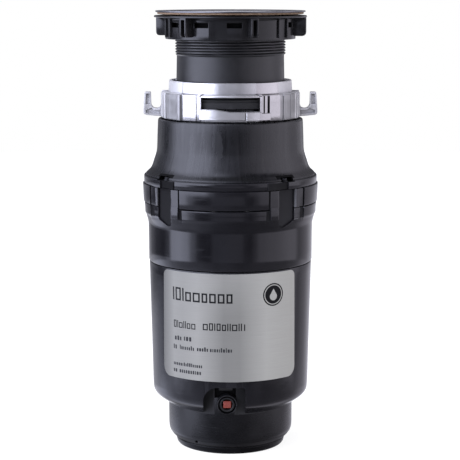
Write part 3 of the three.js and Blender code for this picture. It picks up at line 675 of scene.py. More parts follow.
BOTTOM = [(-180, 0.12), (-164, 0.2), (-145, 0.9), (-118, 1.5), (-90, 1.0), (-60, 0.7), (-40, 0.45), (-20, 0.22), (20, 0.13), (60, 0.2), (100, 0.38), (130, 0.75), (148, 0.5), (164, 0.12), (180, 0.12)]
LOW = [(-180, 0.9), (-150, 1.3), (-118, 1.9), (-104, 1.4), (-90, 0.95), (-68, 0.60), (-57, 0.52), (-47, 0.44), (-29, 0.24), (-20, 0.17), (20, 0.12), (45, 0.22), (80, 0.32), (100, 0.42), (130, 0.85), (180, 0.9)]
SHELL = [(-180, 0.8), (-158, 0.65), (-140, 0.85), (-124, 0.8), (-108, 0.6), (-97, 1.3), (-89, 3.2), (-76, 3.8), (-64, 3.3), (-54, 1.2), (-45, 0.2), (-38, 0.02), (-30, 0.03), (-22, 0.35),
         (15, 0.40), (21, 0.16), (28, 0.10), (34, 0.35), (42, 0.85), (60, 1.05), (90, 1.35), (101, 1.2), (112, 0.5), (130, 0.6), (150, 0.8), (180, 0.8)]
SKY = [(-180, 1.3), (-135, 1.1), (-115, 0.7), (-90, 2.6), (-50, 2.8), (-25, 1.9), (0, 0.55), (20, 0.18), (40, 0.05), (105, 0.05), (125, 0.6), (145, 1.1), (180, 1.3)]
MID = [(-180, 0.8), (-158, 0.45), (-140, 0.28), (-124, 0.12), (-108, 0.05), (-97, 0.4), (-89, 3.2), (-76, 3.8), (-64, 3.3), (-54, 1.2), (-45, 0.2), (-38, 0.02), (-30, 0.03), (-22, 0.35),
       (15, 0.40), (21, 0.16), (28, 0.10), (34, 0.35), (42, 0.85), (60, 1.05), (90, 1.35), (101, 1.2), (112, 0.5), (130, 0.6), (150, 0.8), (180, 0.8)]
UP = [(-180, 0.10), (-166, 0.14), (-150, 0.5), (-132, 0.35), (-118, 0.10), (-105, 0.3), (-94, 3.4), (-66, 3.9), (-35, 3.6), (-25, 1.0), (-17, 0.13), (18, 0.09), (27, 0.45), (45, 0.95),
      (70, 1.25), (92, 1.5), (104, 1.0), (116, 0.6), (134, 0.6), (152, 0.7), (166, 0.14), (180, 0.10)]
HIGH = [(-180, 0.12), (-150, 0.16), (-118, 0.3), (-104, 0.8), (-92, 3.4), (-60, 3.9), (-34, 3.3), (-20, 0.65), (0, 0.42), (18, 0.32), (30, 0.6), (60, 1.2), (95, 1.4), (115, 0.8), (140, 0.3), (165, 0.12), (180, 0.12)]
w_out_col = studio_ramp(BOTTOM)
for stops, z0, z1 in ((LOW, -0.60, -0.42), (SHELL, -0.305, -0.268), (MID, -0.228, -0.200), (UP, -0.145, -0.095), (HIGH, 0.045, 0.075), (SKY, 0.50, 0.72)):
    w_up = wn.new("ShaderNodeMapRange")
    w_up.interpolation_type = "SMOOTHSTEP"
    w_up.inputs["From Min"].default_value = z0
    w_up.inputs["From Max"].default_value = z1
    wt.links.new(w_sep.outputs[2], w_up.inputs["Value"])
    w_m = wn.new("ShaderNodeMix")
    w_m.data_type = "RGBA"
    wt.links.new(w_up.outputs[0], w_m.inputs[0])
    wt.links.new(w_out_col, RGBA(w_m, "A"))
    wt.links.new(studio_ramp(stops), RGBA(w_m, "B"))
    w_out_col = [o for o in w_m.outputs if o.type == "RGBA"][0]
# towards the zenith everything turns to one soft overhead card
w_up = wn.new("ShaderNodeMapRange")
w_up.interpolation_type = "SMOOTHSTEP"
w_up.inputs["From Min"].default_value = 0.85
w_up.inputs["From Max"].default_value = 0.97
wt.links.new(w_sep.outputs[2], w_up.inputs["Value"])
w_mixz = wn.new("ShaderNodeMix")
w_mixz.data_type = "RGBA"
wt.links.new(w_up.outputs[0], w_mixz.inputs[0])
wt.links.new(w_out_col, RGBA(w_mixz, "A"))
RGBA(w_mixz, "B").default_value = (0.028, 0.029, 0.031, 1)
w_bg = wn.new("ShaderNodeBackground")
w_bg.inputs["Strength"].default_value = TOP_LEVEL
wt.links.new([o for o in w_mixz.outputs if o.type == "RGBA"][0], w_bg.inputs["Color"])
w_white = wn.new("ShaderNodeBackground")
w_white.inputs["Color"].default_value = (1, 1, 1, 1)
w_white.inputs["Strength"].default_value = 1.0
w_lp = wn.new("ShaderNodeLightPath")
w_mix = wn.new("ShaderNodeMixShader")
wt.links.new(w_lp.outputs["Is Camera Ray"], w_mix.inputs[0])
wt.links.new(w_bg.outputs[0], w_mix.inputs[1])
wt.links.new(w_white.outputs[0], w_mix.inputs[2])
wt.links.new(w_mix.outputs[0], w_out.inputs[0])

sun_data = bpy.data.lights.new("overhead", "SUN")
sun_data.energy = 1.9
sun_data.angle = rad(60)
sun = bpy.data.objects.new("overhead", sun_data)
sun.visible_glossy = False
sun.rotation_euler = (rad(12), rad(-8), 0)
bpy.context.scene.collection.objects.link(sun)


def area(name, loc, target, size, energy, size_y=None):
    d = bpy.data.lights.new(name, "AREA")
    d.shape = "RECTANGLE"
    d.size, d.size_y = size, size_y or size
    d.energy = energy
    o = bpy.data.objects.new(name, d)
    o.location = loc
    o.rotation_euler = (Vector(target) - Vector(loc)).to_track_quat("-Z", "Y").to_euler()
    bpy.context.scene.collection.objects.link(o)
    return o


key = area("key_left", (-1.3, -1.0, 1.1), (0, 0, 0.2), 0.8, 4, 1.2)
key.visible_glossy = False

floor_mat = Mat("floor_paper")
fn = floor_mat.noise(floor_mat.mapping((1, 1, 1)), 40, 4, 0.5)
floor_mat.done(floor_mat.ramp(fn, [(0.3, (0.20, 0.20, 0.20)), (0.7, (0.22, 0.22, 0.22))]), 0.8, floor_mat.bump(fn, 0.02, 0.001), Specular_IOR_Level=0.1,
               Emission_Color=(1.0, 1.0, 1.0, 1.0), Emission_Strength=0.9)
fv = [(0, 0, -0.0002)] + [(2.2 * math.cos(2 * math.pi * i / 96), 2.2 * math.sin(2 * math.pi * i / 96), -0.0002) for i in range(96)]
floor = mesh_object("floor", fv, [[0, i + 1, (i + 1) % 96 + 1] for i in range(96)])
floor.data.materials.append(floor_mat.m)
floor.visible_glossy = False

# ------------------------------------------------------------------ sink flange, gasket, sleeve
flange = revolve("sink_flange_form", fillet([
    (37.0, 300.3), (37.0, 325.2), (37.5, 328.2), (38.4, 330.6), (39.8, 332.6), (41.6, 334.4), (43.6, 335.5),
    (46.2, 336.1), (52.0, 336.5), (56.3, 336.78), (56.95, 336.80), (57.13, 336.6), (57.14, 335.95), (56.9, 335.74), (56.2, 335.70),
    (46.2, 334.95), (44.1, 334.5), (42.4, 333.5), (40.7, 331.4), (39.1, 328.4), (38.3, 325.0), (38.2, 300.3),
], 0.25, 3), 192)
finish_piece(flange, "flange_pressing", "stainless", "sink_set", ["sink_flange"])
# painted shade: the flange's outer rim takes the darker steel
paint(flange, "dark_steel", lambda az, r, z, n: r > 56.35)

gasket = revolve("gasket_form", fillet([(46.4, 333.95), (53.3, 334.0), (55.3, 334.2), (55.78, 334.5), (55.75, 335.55), (55.4, 335.62), (52, 335.35), (46.4, 334.8)], 0.15, 3), 160)
finish_piece(gasket, "gasket_ring", "fibre", "gasket", ["fibre_gasket"])


def sleeve_piece():
    az = np.arange(180) * 2.0
    zs = [275.9, 276.3, 279.0, 283.0, 286.0, 290.0, 294.0, 298.0, 301.5] + list(np.arange(302.2, 323.6, 0.21)) + [323.9, 324.3]
    rows = []

    def radius(z):
        base = 41.33 if z < 284 else 41.33 - (z - 284) * (41.33 - 40.95) / 18 if z < 302 else 40.95

        def f(a):
            ph = (z - 303.0) / PITCH - a / 360.0
            tri = 1 - np.abs(((ph % 1.0) - 0.5) * 2)
            tooth = np.clip(tri * 2.0 - 0.2, 0, 1)
            env = smoothstep(302.9, 304.2, np.full_like(a, z)) * (1 - smoothstep(322.0, 323.4, np.full_like(a, z)))
            return base + 1.12 * tooth * env

        return f

    for z in zs:
        r = radius(z)
        if z < 276.1:
            r = 41.0
        if z > 324.2:
            r = 40.4
        rows.append((r, z))
    rows += [(39.2, 324.55), (38.9, 324.2), (38.9, 290.0), (38.7, 289.7), (36.8, 289.6), (36.6, 289.3), (36.6, 286.9), (36.9, 286.6), (38.6, 286.6), (38.9, 286.3), (38.9, 276.2), (39.2, 275.9)]
    tube = revolve("sleeve_form", rows, 180)
    lugs = []
    for c in (60, 180, 300):
        lug = sector("lug", 40.6, 44.4, 276.0, lambda a, c=c: 278.65 + 0.05 * (14 - (a - c)), c - 14, c + 14, 2)
        lugs.append(bevel(lug, 0.35, 2, 40))
    ribs = [sector("rib", 38.0, 39.4, 291.5, 322.5, a - 1.2, a + 1.2, 0.6) for a in ()]
    return join("sleeve_form", [tube, *lugs, *ribs])


finish_piece(sleeve_piece(), "sleeve_threaded", "sleeve", "sink_set", ["threaded_sleeve"], 50)


def guard_piece():
    """Rubber flap disc: rim, shallow dished web and eight flaps parted by slits, each a little slack."""
    objs = [revolve("guard_rim", fillet([(33.4, 299.3), (38.3, 299.3), (38.3, 290.1), (34.2, 290.1), (32.6, 289.5), (32.6, 291.4), (33.4, 293.0)], 0.4, 3), 128)]
    for k in range(8):
        a0, a1 = k * 45 - 21.3, k * 45 + 21.3
        nu, nv = 16, 14
        top, bot, f = [], [], []
        for i in range(nv + 1):
            t = i / nv
            r = 33.2 - t * 23.0
            for j in range(nu + 1):
                s = j / nu
                cut_w = math.degrees(0.55 / r)
                a = a0 + 0.2 + cut_w + (a1 - a0 - 0.4 - 2 * cut_w) * s
                z = 291.6 - 9.3 * t ** 1.15 - 0.7 * math.sin(math.pi * s) * -1 * t + 0.35 * math.cos(2 * math.pi * (s - 0.5)) * t
                x, y = polar(r, a)
                top.append((x, y, min(z + 0.5, 293.0)))
                bot.append((x, y, z - 1.3))
        n1 = nu + 1
        off = len(top)
        for i in range(nv):
            for j in range(nu):
                q = i * n1 + j
                f.append([q, q + 1, q + n1 + 1, q + n1])
                f.append([off + q, off + q + n1, off + q + n1 + 1, off + q + 1])
        for j in range(nu):
            f.append([j, off + j, off + j + 1, j + 1])
            q = nv * n1 + j
            f.append([q, q + 1, off + q + 1, off + q])
        for i in range(nv):
            q = i * n1
            f.append([q, q + n1, off + q + n1, off + q])
            q = i * n1 + nu
            f.append([q, off + q, off + q + n1, q + n1])
        objs.append(mesh_object("flap", [tuple(c * MM for c in p) for p in top + bot], f))
    return join("guard_form", objs)


finish_piece(guard_piece(), "splash_flaps", "rubber", "sink_set", ["splash_guard"], 45)


def nut_piece():
    body = revolve("nut_form", fillet([
        (42.75, 316.3), (42.75, 330.0), (44.3, 333.25), (57.7, 333.25), (58.18, 332.9), (58.18, 332.1), (57.8, 331.75),
        (51.2, 331.6), (50.0, 330.8), (49.75, 329.2), (49.6, 315.5), (48.0, 315.5), (47.6, 316.0), (47.6, 330.0), (45.2, 330.0), (45.2, 316.3),
    ], 0.4, 3), 192)
    tools = []
    for base in (0, 120, 240):
        for a, w in ((-57.2, 10.6), (-25.8, 11.6), (3.4, 11.2)):
            b = boxed("win", (-w / 2, -53, 324.6), (w / 2, -46.3, 328.3))
            tools.append(turned_to(b, a + base))
    cut(body, tools)
    body = bevel(body, 0.22, 2, 40)
    extra = []
    for base in (0, 120, 240):
        for a in (-37.5, 18.3):
            outline = [(-48.4, 317.7), (-55.2, 317.7), (-56.6, 318.1), (-57.5, 319.2), (-57.8, 320.8), (-57.8, 332.3), (-48.4, 332.3)]
            lug = extrude("lug", outline, -2.9, 2.9, "yz")
            slot = extrude("slot", [(-50.2, 316.0), (-60.0, 316.0), (-60.0, 329.6), (-57.0, 330.6), (-50.2, 331.0)], -1.5, 1.5, "yz")
            cut(lug, [slot])
            extra.append(turned_to(bevel(lug, 0.35, 2, 40), a + base))
        # low wrench ribs beside the plain panel
        for a in (45.5, 56.8):
            rib = boxed("rib", (-0.7, -51.2, 317.0), (0.7, -49.0, 331.8))
            extra.append(turned_to(bevel(rib, 0.3, 2, 40), a + base))
    return join("nut_form", [body, *extra])


def nut_hub_piece():
    """Inner hub with its thread, deep inside the skirt, coloured near-black as painted shade."""
    az = 96
    rows = []
    for z in np.arange(316.6, 329.6, 0.26):
        ph0 = (z - 303.0) / PITCH

        def f(a, ph0=ph0):
            tri = 1 - np.abs((((ph0 - a / 360.0 + 0.5) % 1.0) - 0.5) * 2)
            return 42.9 - 0.0 * tri + 0.35 * (1 - tri)

        rows.append((f, z))
    rows += [(43.9, 329.8), (43.9, 316.4)]
    sleeve = revolve("hub_out", fillet([(43.8, 316.2), (45.3, 316.2), (45.3, 330.4), (47.8, 330.4), (47.8, 331.0), (43.8, 331.0)], 0.2, 2), az)
    return join("hub_form", [revolve("hub_thread", rows, az), sleeve])


finish_piece(nut_piece(), "backing_nut_moulding", "nut", "backing_nut", ["mounting_nut"], 45)
# painted shade: the hub inside the skirt takes the near-black recess material
finish_piece(nut_hub_piece(), "backing_nut_hub", "shade", "backing_nut", (), 45)


# ------------------------------------------------------------------ lock ring
def ring_piece():
    flats = []  # (from, to, radius at the middle of the flat)
    edges = []

    def add(a, b, r):
        flats.append((a, b, r))
        edges.extend([a, b])

    for base in (0, 120, 240):
        add(base - 61.0, base - 49.0, 52.6)
        add(base - 48.2, base - 45.4, 53.15)
        add(base - 45.4, base - 41.6, 51.35)
        add(base - 41.6, base - 29.0, 52.75)
        add(base - 29.0, base - 27.4, 52.2)
        add(base - 27.4, base - 24.9, 52.7)
        add(base + 25.4, base + 27.8, 52.6)
        add(base + 27.8, base + 28.9, 51.5)
        add(base + 28.9, base + 31.4, 52.7)
        add(base + 31.4, base + 33.4, 51.2)
        add(base + 33.4, base + 44.7, 52.8)
        add(base + 44.7, base + 49.0, 52.2)
        add(base + 49.0, base + 52.4, 52.9)

    def wall(inset=0.0):
        def f(a):
            out = np.full_like(a, 52.45)
            for lo, hi, r in flats:
                mid, half = (lo + hi) / 2, (hi - lo) / 2
                d = (a - mid + 180) % 360 - 180
                on = np.abs(d) <= half
                out = np.where(on, r * math.cos(rad(half)) ** 0.0 / np.cos(np.radians(d)) * math.cos(rad(half * 0.6)), out)
            return np.minimum(out, 53.25) - inset
        return f

    rows = [
        (44.8, 273.8), (44.8, 283.9), (45.05, 284.25), (46.5, 284.28), (46.85, 284.0), (47.25, 276.0), (47.6, 275.55), (48.2, 275.4),
        (wall(1.0), 275.35), (wall(0.35), 275.2), (wall(0.0), 274.6), (wall(0.0), 270.0), (wall(0.0), 262.0), (wall(0.0), 256.6),
        (wall(0.3), 256.0), (wall(0.9), 255.85), (46.9, 255.85), (46.5, 256.2), (46.5, 258.9), (46.8, 259.2), (49.1, 259.2), (49.4, 259.5),
        (49.4, 273.5), (49.1, 273.8), (45.1, 273.8),
    ]
    shell = revolve("ring_form", rows, 180, edges)

    def sill(a, base):
        d = a - base
        return 265.2 if d < -12.5 else 263.4 if d > 0 else 265.2 - 1.8 * (d + 12.5) / 12.5

    tools = [sector("window", 48.5, 57, lambda a, b=b: sill(a, b), 273.9, b - 24.6, b + 24.7, 1.2) for b in (0, 120, 240)]
    # bring the deck's underside clear of the windows' top edge
    cut(shell, tools)
    shell = bevel(shell, 0.2, 2, 42)
    parts = [shell]
    for b in (0, 120, 240):
        s = sector("strip", 51.6, 53.2, 257.3, lambda a, b=b: sill(a, b) - 0.3, b - 26, b + 12.0, 1.0)
        parts.append(bevel(s, 0.25, 1, 40))
        s = sector("step", 51.6, 53.35, 256.9, lambda a, b=b: 263.0 if a - b < 25.4 else 262.2, b + 12.9, b + 34.2, 1.0)
        parts.append(bevel(s, 0.25, 1, 40))
        # thin fin along the strip's middle and the two small ears at the window's top corners
        s = sector("lip", 52.0, 53.3, 263.0, 265.0, b - 24.8, b - 23.6, 0.6)
        parts.append(bevel(s, 0.15, 1, 40))
        for e in (-25.6, 25.2):
            ear = sector("ear", 48.0, 52.9, 274.6, 276.1, b + e - 1.1, b + e + 1.1, 0.5)
            parts.append(bevel(ear, 0.25, 2, 40))
    for c in (60, 180, 300):
        at = [(-16, None), (15, None), (15.2, 278.2), (72.5, 278.2)]
        led = sector("ledge", 41.95, 46.0, lambda a, c=c: 279.0 + 0.05 * (14 - (a - c)) if a - c < 15 else 278.2, 283.85, c - 16, c + 72.5, 1.5)
        parts.append(bevel(led, 0.3, 2, 40))
    for side in (1, -1):
        arc = [(60.9, 266.5)]
        for k in range(1, 8):
            t = k / 8 * math.pi / 2
            arc.append((60.9 - 3.9 * (1 - math.cos(t)), 266.5 - 3.9 * math.sin(t)))
        outline = [(51.0, 256.5), (58.0, 256.9), (64.8, 257.6), (66.1, 258.3), (66.6, 259.6), (66.6, 261.5), (65.7, 274.4), (65.2, 275.1), (61.6, 275.1), (61.1, 274.6)] + arc + [(54.6, 262.8), (51.0, 264.6)]
        outline = [(r * side, z) for r, z in outline]
        hook = extrude("hook", outline, -4.0, 4.0, "xz")
        rec = [(61.9, 266.0), (64.9, 266.0), (64.4, 273.6), (61.9, 273.6)]
        rec2 = [(53.6, 258.2), (64.6, 259.0), (64.9, 261.2), (60.5, 263.0), (58.5, 261.2), (53.6, 261.2)]
        for pts in (rec, rec2):
            for y0, y1 in ((-5, -2.6), (2.6, 5)):
                cut(hook, [extrude("rec", [(r * side, z) for r, z in pts], y0, y1, "xz")])
        parts.append(bevel(hook, 0.4, 2, 40))
        gus = extrude("gusset", [(51.5 * side, 256.3), (51.5 * side, 270.5), (54.0 * side, 263.6), (57.5 * side, 262.4), (57.5 * side, 257.0)], -1.1, 1.1, "xz")
        parts.append(bevel(gus, 0.3, 2, 40))
        pad = sector("pad", 51.3, 53.2, 256.3, 274.7, 90 * side - 12, 90 * side + 12, 1.0)
        parts.append(bevel(pad, 0.35, 2, 40))
    return join("ring_form", parts)


ring = finish_piece(ring_piece(), "lock_ring_casting", "zinc", "lock_ring", ["mount_ring"], 34)
# the two ends with their hooks are left rougher than the turned middle and painted lighter (painted light); the faces
# round the windows take a lighter copy (painted light) and the facets beside the ends a darker copy (painted shade)
paint(ring, "zinc_face_lit", lambda az, r, z, n: abs((az + 60) % 120 - 60) < 24)
paint(ring, "zinc_end_lit", lambda az, r, z, n: abs(math.sin(rad(az))) > 0.77 or r > 54.0)
paint(ring, "zinc_shade", lambda az, r, z, n: 44.5 < abs((az + 60) % 120 - 60) and abs(math.sin(rad(az))) < 0.93 and 50.5 < r < 54.0)

cushion = revolve("cushion_form", fillet([
    (38.8, 265.2), (48.85, 265.2), (48.85, 269.8), (48.3, 270.2), (48.3, 270.6), (48.9, 271.0), (48.9, 271.6), (48.3, 272.1), (44.3, 272.1), (44.3, 275.45), (38.8, 275.45),
], 0.3, 3), 144)
finish_piece(cushion, "cushion_ring", "rubber", "disposer", ["cushion_mount"])

# ------------------------------------------------------------------ the two housings and their joint
def u_of(a):
    """Azimuth within the four-fold pattern of the joint, 0 at a panel's middle and 45 at a pocket."""
    return np.abs(((a - JOINT_AZ0 + 45) % 90) - 45)


JOINT_EDGES = []
for q in range(4):
    for u in (28.4, 29.6, 30.9):
        JOINT_EDGES += [JOINT_AZ0 + 90 * q + u, JOINT_AZ0 + 90 * q - u]
CORNER_EDGES = []
# corner azimuth, and which way along the azimuth its inner (front or back) side lies
CORNERS = [(-49.7, 1), (40.3, -1), (130.3, 1), (-139.7, -1)]
# inner block of each corner: where it starts and ends, degrees from the corner towards the front or back
BLOCKS = [(-1.9, 10.7), (0.2, 15.9), (-1.9, 10.7), (0.2, 15.9)]
for (c_, s_), (t0_, t1_) in zip(CORNERS, BLOCKS):
    CORNER_EDGES += [c_ + s_ * t1_, c_ + s_ * t0_, c_ - s_ * 9.6]


def band_r(inset=0.0):
    def f(a):
        r = np.full_like(a, 66.6)
        for (c_, s_), (t0_, t1_) in zip(CORNERS, BLOCKS):
            t = ((a - c_ + 180) % 360 - 180) * s_  # positive towards the front or back panel
            inner = (t > t0_) & (t < t1_)
            outer = (t <= t0_) & (t > -9.6)
            r = np.where(inner, 66.2 / np.cos(np.radians(t + 1.6)) - 0.35, r)
            r = np.where(outer, 67.2, r)
        return np.minimum(r, 67.45) - inset
    return f


def relief(panel, groove, rib, inset=0.0, half=29.6):
    def f(a):
        u = u_of(a)
        r = np.where(u < half, panel, np.where(u < 30.9, groove, rib))
        return r - inset
    return f


def frustum(name, loops):
    """Closed prism through several outlines [(points (x, z), y)], all with the same count."""
    n = len(loops[0][0])
    v, f = [], []
    for pts, y in loops:
        v += [(x * MM, y * MM, z * MM) for x, z in pts]
    for i in range(len(loops) - 1):
        for k in range(n):
            q = (k + 1) % n
            f.append([i * n + k, i * n + q, (i + 1) * n + q, (i + 1) * n + k])
    f.append(list(range(n)))
    f.append(list(range(len(loops) * n - 1, (len(loops) - 1) * n - 1, -1)))
    return mesh_object(name, v, f)


def rounded(points, radii, steps=5):
    """Closed 2-D outline with each corner rounded by its own radius."""
    out = []
    n = len(points)
    for i, p in enumerate(points):
        a, b, q = np.array(points[i - 1], float), np.array(points[(i + 1) % n], float), np.array(p, float)
        la, lb = np.linalg.norm(a - q), np.linalg.norm(b - q)
        d = min(radii[i], la * 0.48, lb * 0.48)
        s0, e0 = q + (a - q) / la * d, q + (b - q) / lb * d
        for k in range(steps + 1):
            t = k / steps
            out.append(tuple((1 - t) ** 2 * s0 + 2 * t * (1 - t) * q + t * t * e0))
    return out


def grow(points, d):
    """Outline moved outwards by d (points run either way round)."""
    n = len(points)
    area2 = sum(points[i][0] * points[(i + 1) % n][1] - points[(i + 1) % n][0] * points[i][1] for i in range(n))
    sg = 1 if area2 > 0 else -1
    out = []
    for i in range(n):
        a, b = np.array(points[i - 1], float), np.array(points[(i + 1) % n], float)
        t = b - a
        l = np.linalg.norm(t)
        nrm = np.array([t[1], -t[0]]) / l * sg if l > 1e-9 else np.zeros(2)
        out.append(tuple(np.array(points[i], float) + nrm * d))
    return out


def pocket_tools():
    """The four deep pockets under the joint's corners: drafted walls, rounded rims, a slanting foot."""
    tools = []
    for c_, s_ in CORNERS:
        base = [(-7.3, 182.4), (3.4, 177.2), (6.6, 178.0), (7.4, 181.0), (7.4, 205.7), (-7.3, 205.7)]
        rad_ = [1.0, 2.2, 2.2, 1.5, 0.5, 0.5]
        base = [(x * s_, z) for x, z in base]
        o = rounded(base, rad_, 4)
        loops = [(o, -63.2), (grow(o, 0.25), -64.9), (grow(o, 0.5), -65.4), (grow(o, 0.85), -65.8), (grow(o, 1.5), -66.05), (grow(o, 2.4), -66.2), (grow(o, 2.4), -75.0)]
        # the rim's rounding stays below the band
        loops = [([(x, min(z, 205.85)) for x, z in pts], y) for pts, y in loops]
        tools.append(turned_to(frustum("pocket", loops), c_))
    return tools


def notch_tools():
    """Shallow notches in the flare's foot over each corner, with the screw heads inside."""
    tools = []
    for c_, s_ in CORNERS:
        o = rounded([(-6.4, 211.45), (5.6, 211.45), (5.6, 214.9), (-6.4, 214.9)], [0.2, 0.2, 1.7, 1.7], 5)
        o = [(x * s_, z) for x, z in o]
        tools.append(turned_to(frustum("notch", [(o, -57.4), (grow(o, 0.01), -75.0)]), c_))
    return tools


def corner_t(az):
    """Nearest corner's signed azimuth from it, positive towards the front or back panel."""
    best = None
    for c_, s_ in CORNERS:
        t = ((az - c_ + 180) % 360 - 180) * s_
        if best is None or abs(t) < abs(best):
            best = t
    return best


def corner_block(az):
    """True on the inner block of a corner."""
    return any(t0_ < ((az - c_ + 180) % 360 - 180) * s_ < t1_ for (c_, s_), (t0_, t1_) in zip(CORNERS, BLOCKS))


def u_one(az):
    return abs(((az - JOINT_AZ0 + 45) % 90) - 45)


def hopper_piece():
    rows = [
        (55.5, 191.8), (55.5, 214.6), (53.1, 216.6), (52.9, 217.2), (52.9, 245.2), (52.4, 245.8), (42.6, 247.5), (42.2, 248.0), (42.2, 264.4),
        (42.6, 264.8), (45.2, 264.8), (45.6, 264.4), (45.6, 263.0), (45.2, 262.7), (45.2, 259.6), (45.6, 259.3), (45.6, 251.4), (46.0, 251.0),
        (52.9, 251.0), (53.3, 251.4), (53.3, 254.3), (53.6, 254.8), (54.2, 255.05), (54.9, 254.95), (55.35, 254.5), (55.6, 253.6),
        (55.85, 248.0), (56.1, 242.0), (56.25, 237.0), (56.42, 232.7), (56.65, 230.4), (57.3, 228.1), (58.0, 225.8), (58.8, 223.5),
        (59.5, 221.2), (60.15, 219.2), (60.9, 217.6), (61.9, 216.2), (63.2, 215.0), (64.4, 213.9), (65.05, 213.15), (65.15, 212.8), (64.75, 212.45), (64.9, 212.15), (65.3, 212.1),
        (band_r(0.75), 212.15), (band_r(0.3), 211.95), (band_r(0.05), 211.6), (band_r(0.0), 211.0), (band_r(-0.05), 206.6), (band_r(0.15), 206.25), (band_r(0.5), 206.1),
        (relief(66.6, 65.6, 66.0), 206.0), (relief(67.45, 65.9, 66.75), 205.6), (relief(67.5, 66.0, 66.9), 205.0),
        (relief(67.28, 65.9, 66.8), 198.0), (relief(67.05, 65.9, 66.7), 192.7), (relief(66.9, 65.8, 66.6), 192.1), (relief(66.4, 65.6, 66.3), 191.85),
    ]
    ob = revolve("hopper_form", rows, 300, JOINT_EDGES + CORNER_EDGES)
    cut(ob, notch_tools())
    cut(ob, pocket_tools())
    cut(ob, [tube_z("hole", *polar(SCREW_R, a), 1.9, 188, 213, 24) for a in POCKETS])
    hole = tube_y("inlet_hole", 0, INLET_Z, 8.6, 50, 57)
    cut(ob, [hole])
    tabs = []
    for c_, s_ in CORNERS:
        mid = min((JOINT_AZ0 + 90 * q for q in range(-2, 3)), key=lambda m_: abs(abs(c_ - m_) - 45) if (m_ - c_) * s_ > 0 else 999)
        a0_, a1_ = mid - s_ * 31.2, c_ + s_ * 8.0
        lo_, hi_ = sorted((a0_, a1_))
        tab = sector("tab", 63.6, 66.85, 184.2, 193.5, lo_, hi_, 0.6)
        tabs.append(bevel(tab, 0.25, 2, 40))
        lining = [(-7.0 * s_, 183.2), (3.2 * s_, 178.4), (6.4 * s_, 179.2), (7.1 * s_, 182.0), (7.1 * s_, 205.4), (-7.0 * s_, 205.4)]
        tabs.append(turned_to(extrude("lining", lining, -63.32, -62.4, "xz"), c_))
    n = 64
    spigot = revolve("spigot", fillet([(8.6, 53.6), (11.2, 53.6), (11.2, 72.5), (11.9, 73.2), (11.2, 75.0), (11.2, 76.0), (11.9, 76.8), (11.0, 80.0), (8.6, 80.0)], 0.3, 3), n)
    spigot.data.transform(Matrix.Translation((0, 0, INLET_Z * MM)) @ Matrix.Rotation(-math.pi / 2, 4, "X"))
    root = revolve("spigot_root", fillet([(8.7, 53.6), (14.5, 53.6), (13.4, 56.4), (11.9, 58.2), (11.0, 60.5), (8.7, 60.5)], 0.4, 3), n)
    root.data.transform(Matrix.Translation((0, 0, INLET_Z * MM)) @ Matrix.Rotation(-math.pi / 2, 4, "X"))
    return join("hopper_form", [ob, spigot, root, *tabs])


hopper = finish_piece(hopper_piece(), "hopper_moulding", "neck", "disposer", ["hopper_housing"], 36)
# the joint's flange is polished and its corner pockets and groove floors are left matt, with painted shade darkening
# their left side; the corner blocks take a darker matt copy as painted shade, and the notches are painted near-black as
# painted shade
paint(hopper, "housing", lambda az, r, z, n: z < 212.3 and r > 60)
paint(hopper, "matte", lambda az, r, z, n: r > 60 and 178 < z < 206 and abs(corner_t(az)) < 8.5 and r < 65.2 and abs(n.z) < 0.3)
paint(hopper, "block", lambda az, r, z, n: r > 60 and 206 < z < 211.7 and corner_block(az) and abs(n.z) < 0.5)
paint(hopper, "matte", lambda az, r, z, n: 65 < r < 66.4 and 191.5 < z < 205.8 and 29.7 < u_one(az) < 30.8)
paint(hopper, "shade", lambda az, r, z, n: 57 < r < 66 and 211.3 < z < 216.2 and abs(corner_t(az)) < 7.4 and (r < 59.5 or abs(n.z) > 0.7 or r < 64.5 and abs(n.z) < 0.1))


def pocket_rim_highlight(az, r, z, n):
    """Rounded rim on a pocket's outer side and along its foot, the faces that get the painted highlight."""
    if not (64.6 < r < 66.6 and 175 < z < 205.6):
        return False
    for c_, s_ in CORNERS:
        t = ((az - c_ + 180) % 360 - 180) * s_
        if abs(t) < 11:
            lx = 66 * math.sin(rad(t))
            radial = (n.x * math.sin(rad(az)) - n.y * math.cos(rad(az)))
            return 0.2 < radial < 0.93 and (lx < -6.8 or z < 183.5 and lx < 4.5)
    return False


# painted highlight on the pockets' rounded rims
paint(hopper, "rim_highlight", pocket_rim_highlight)


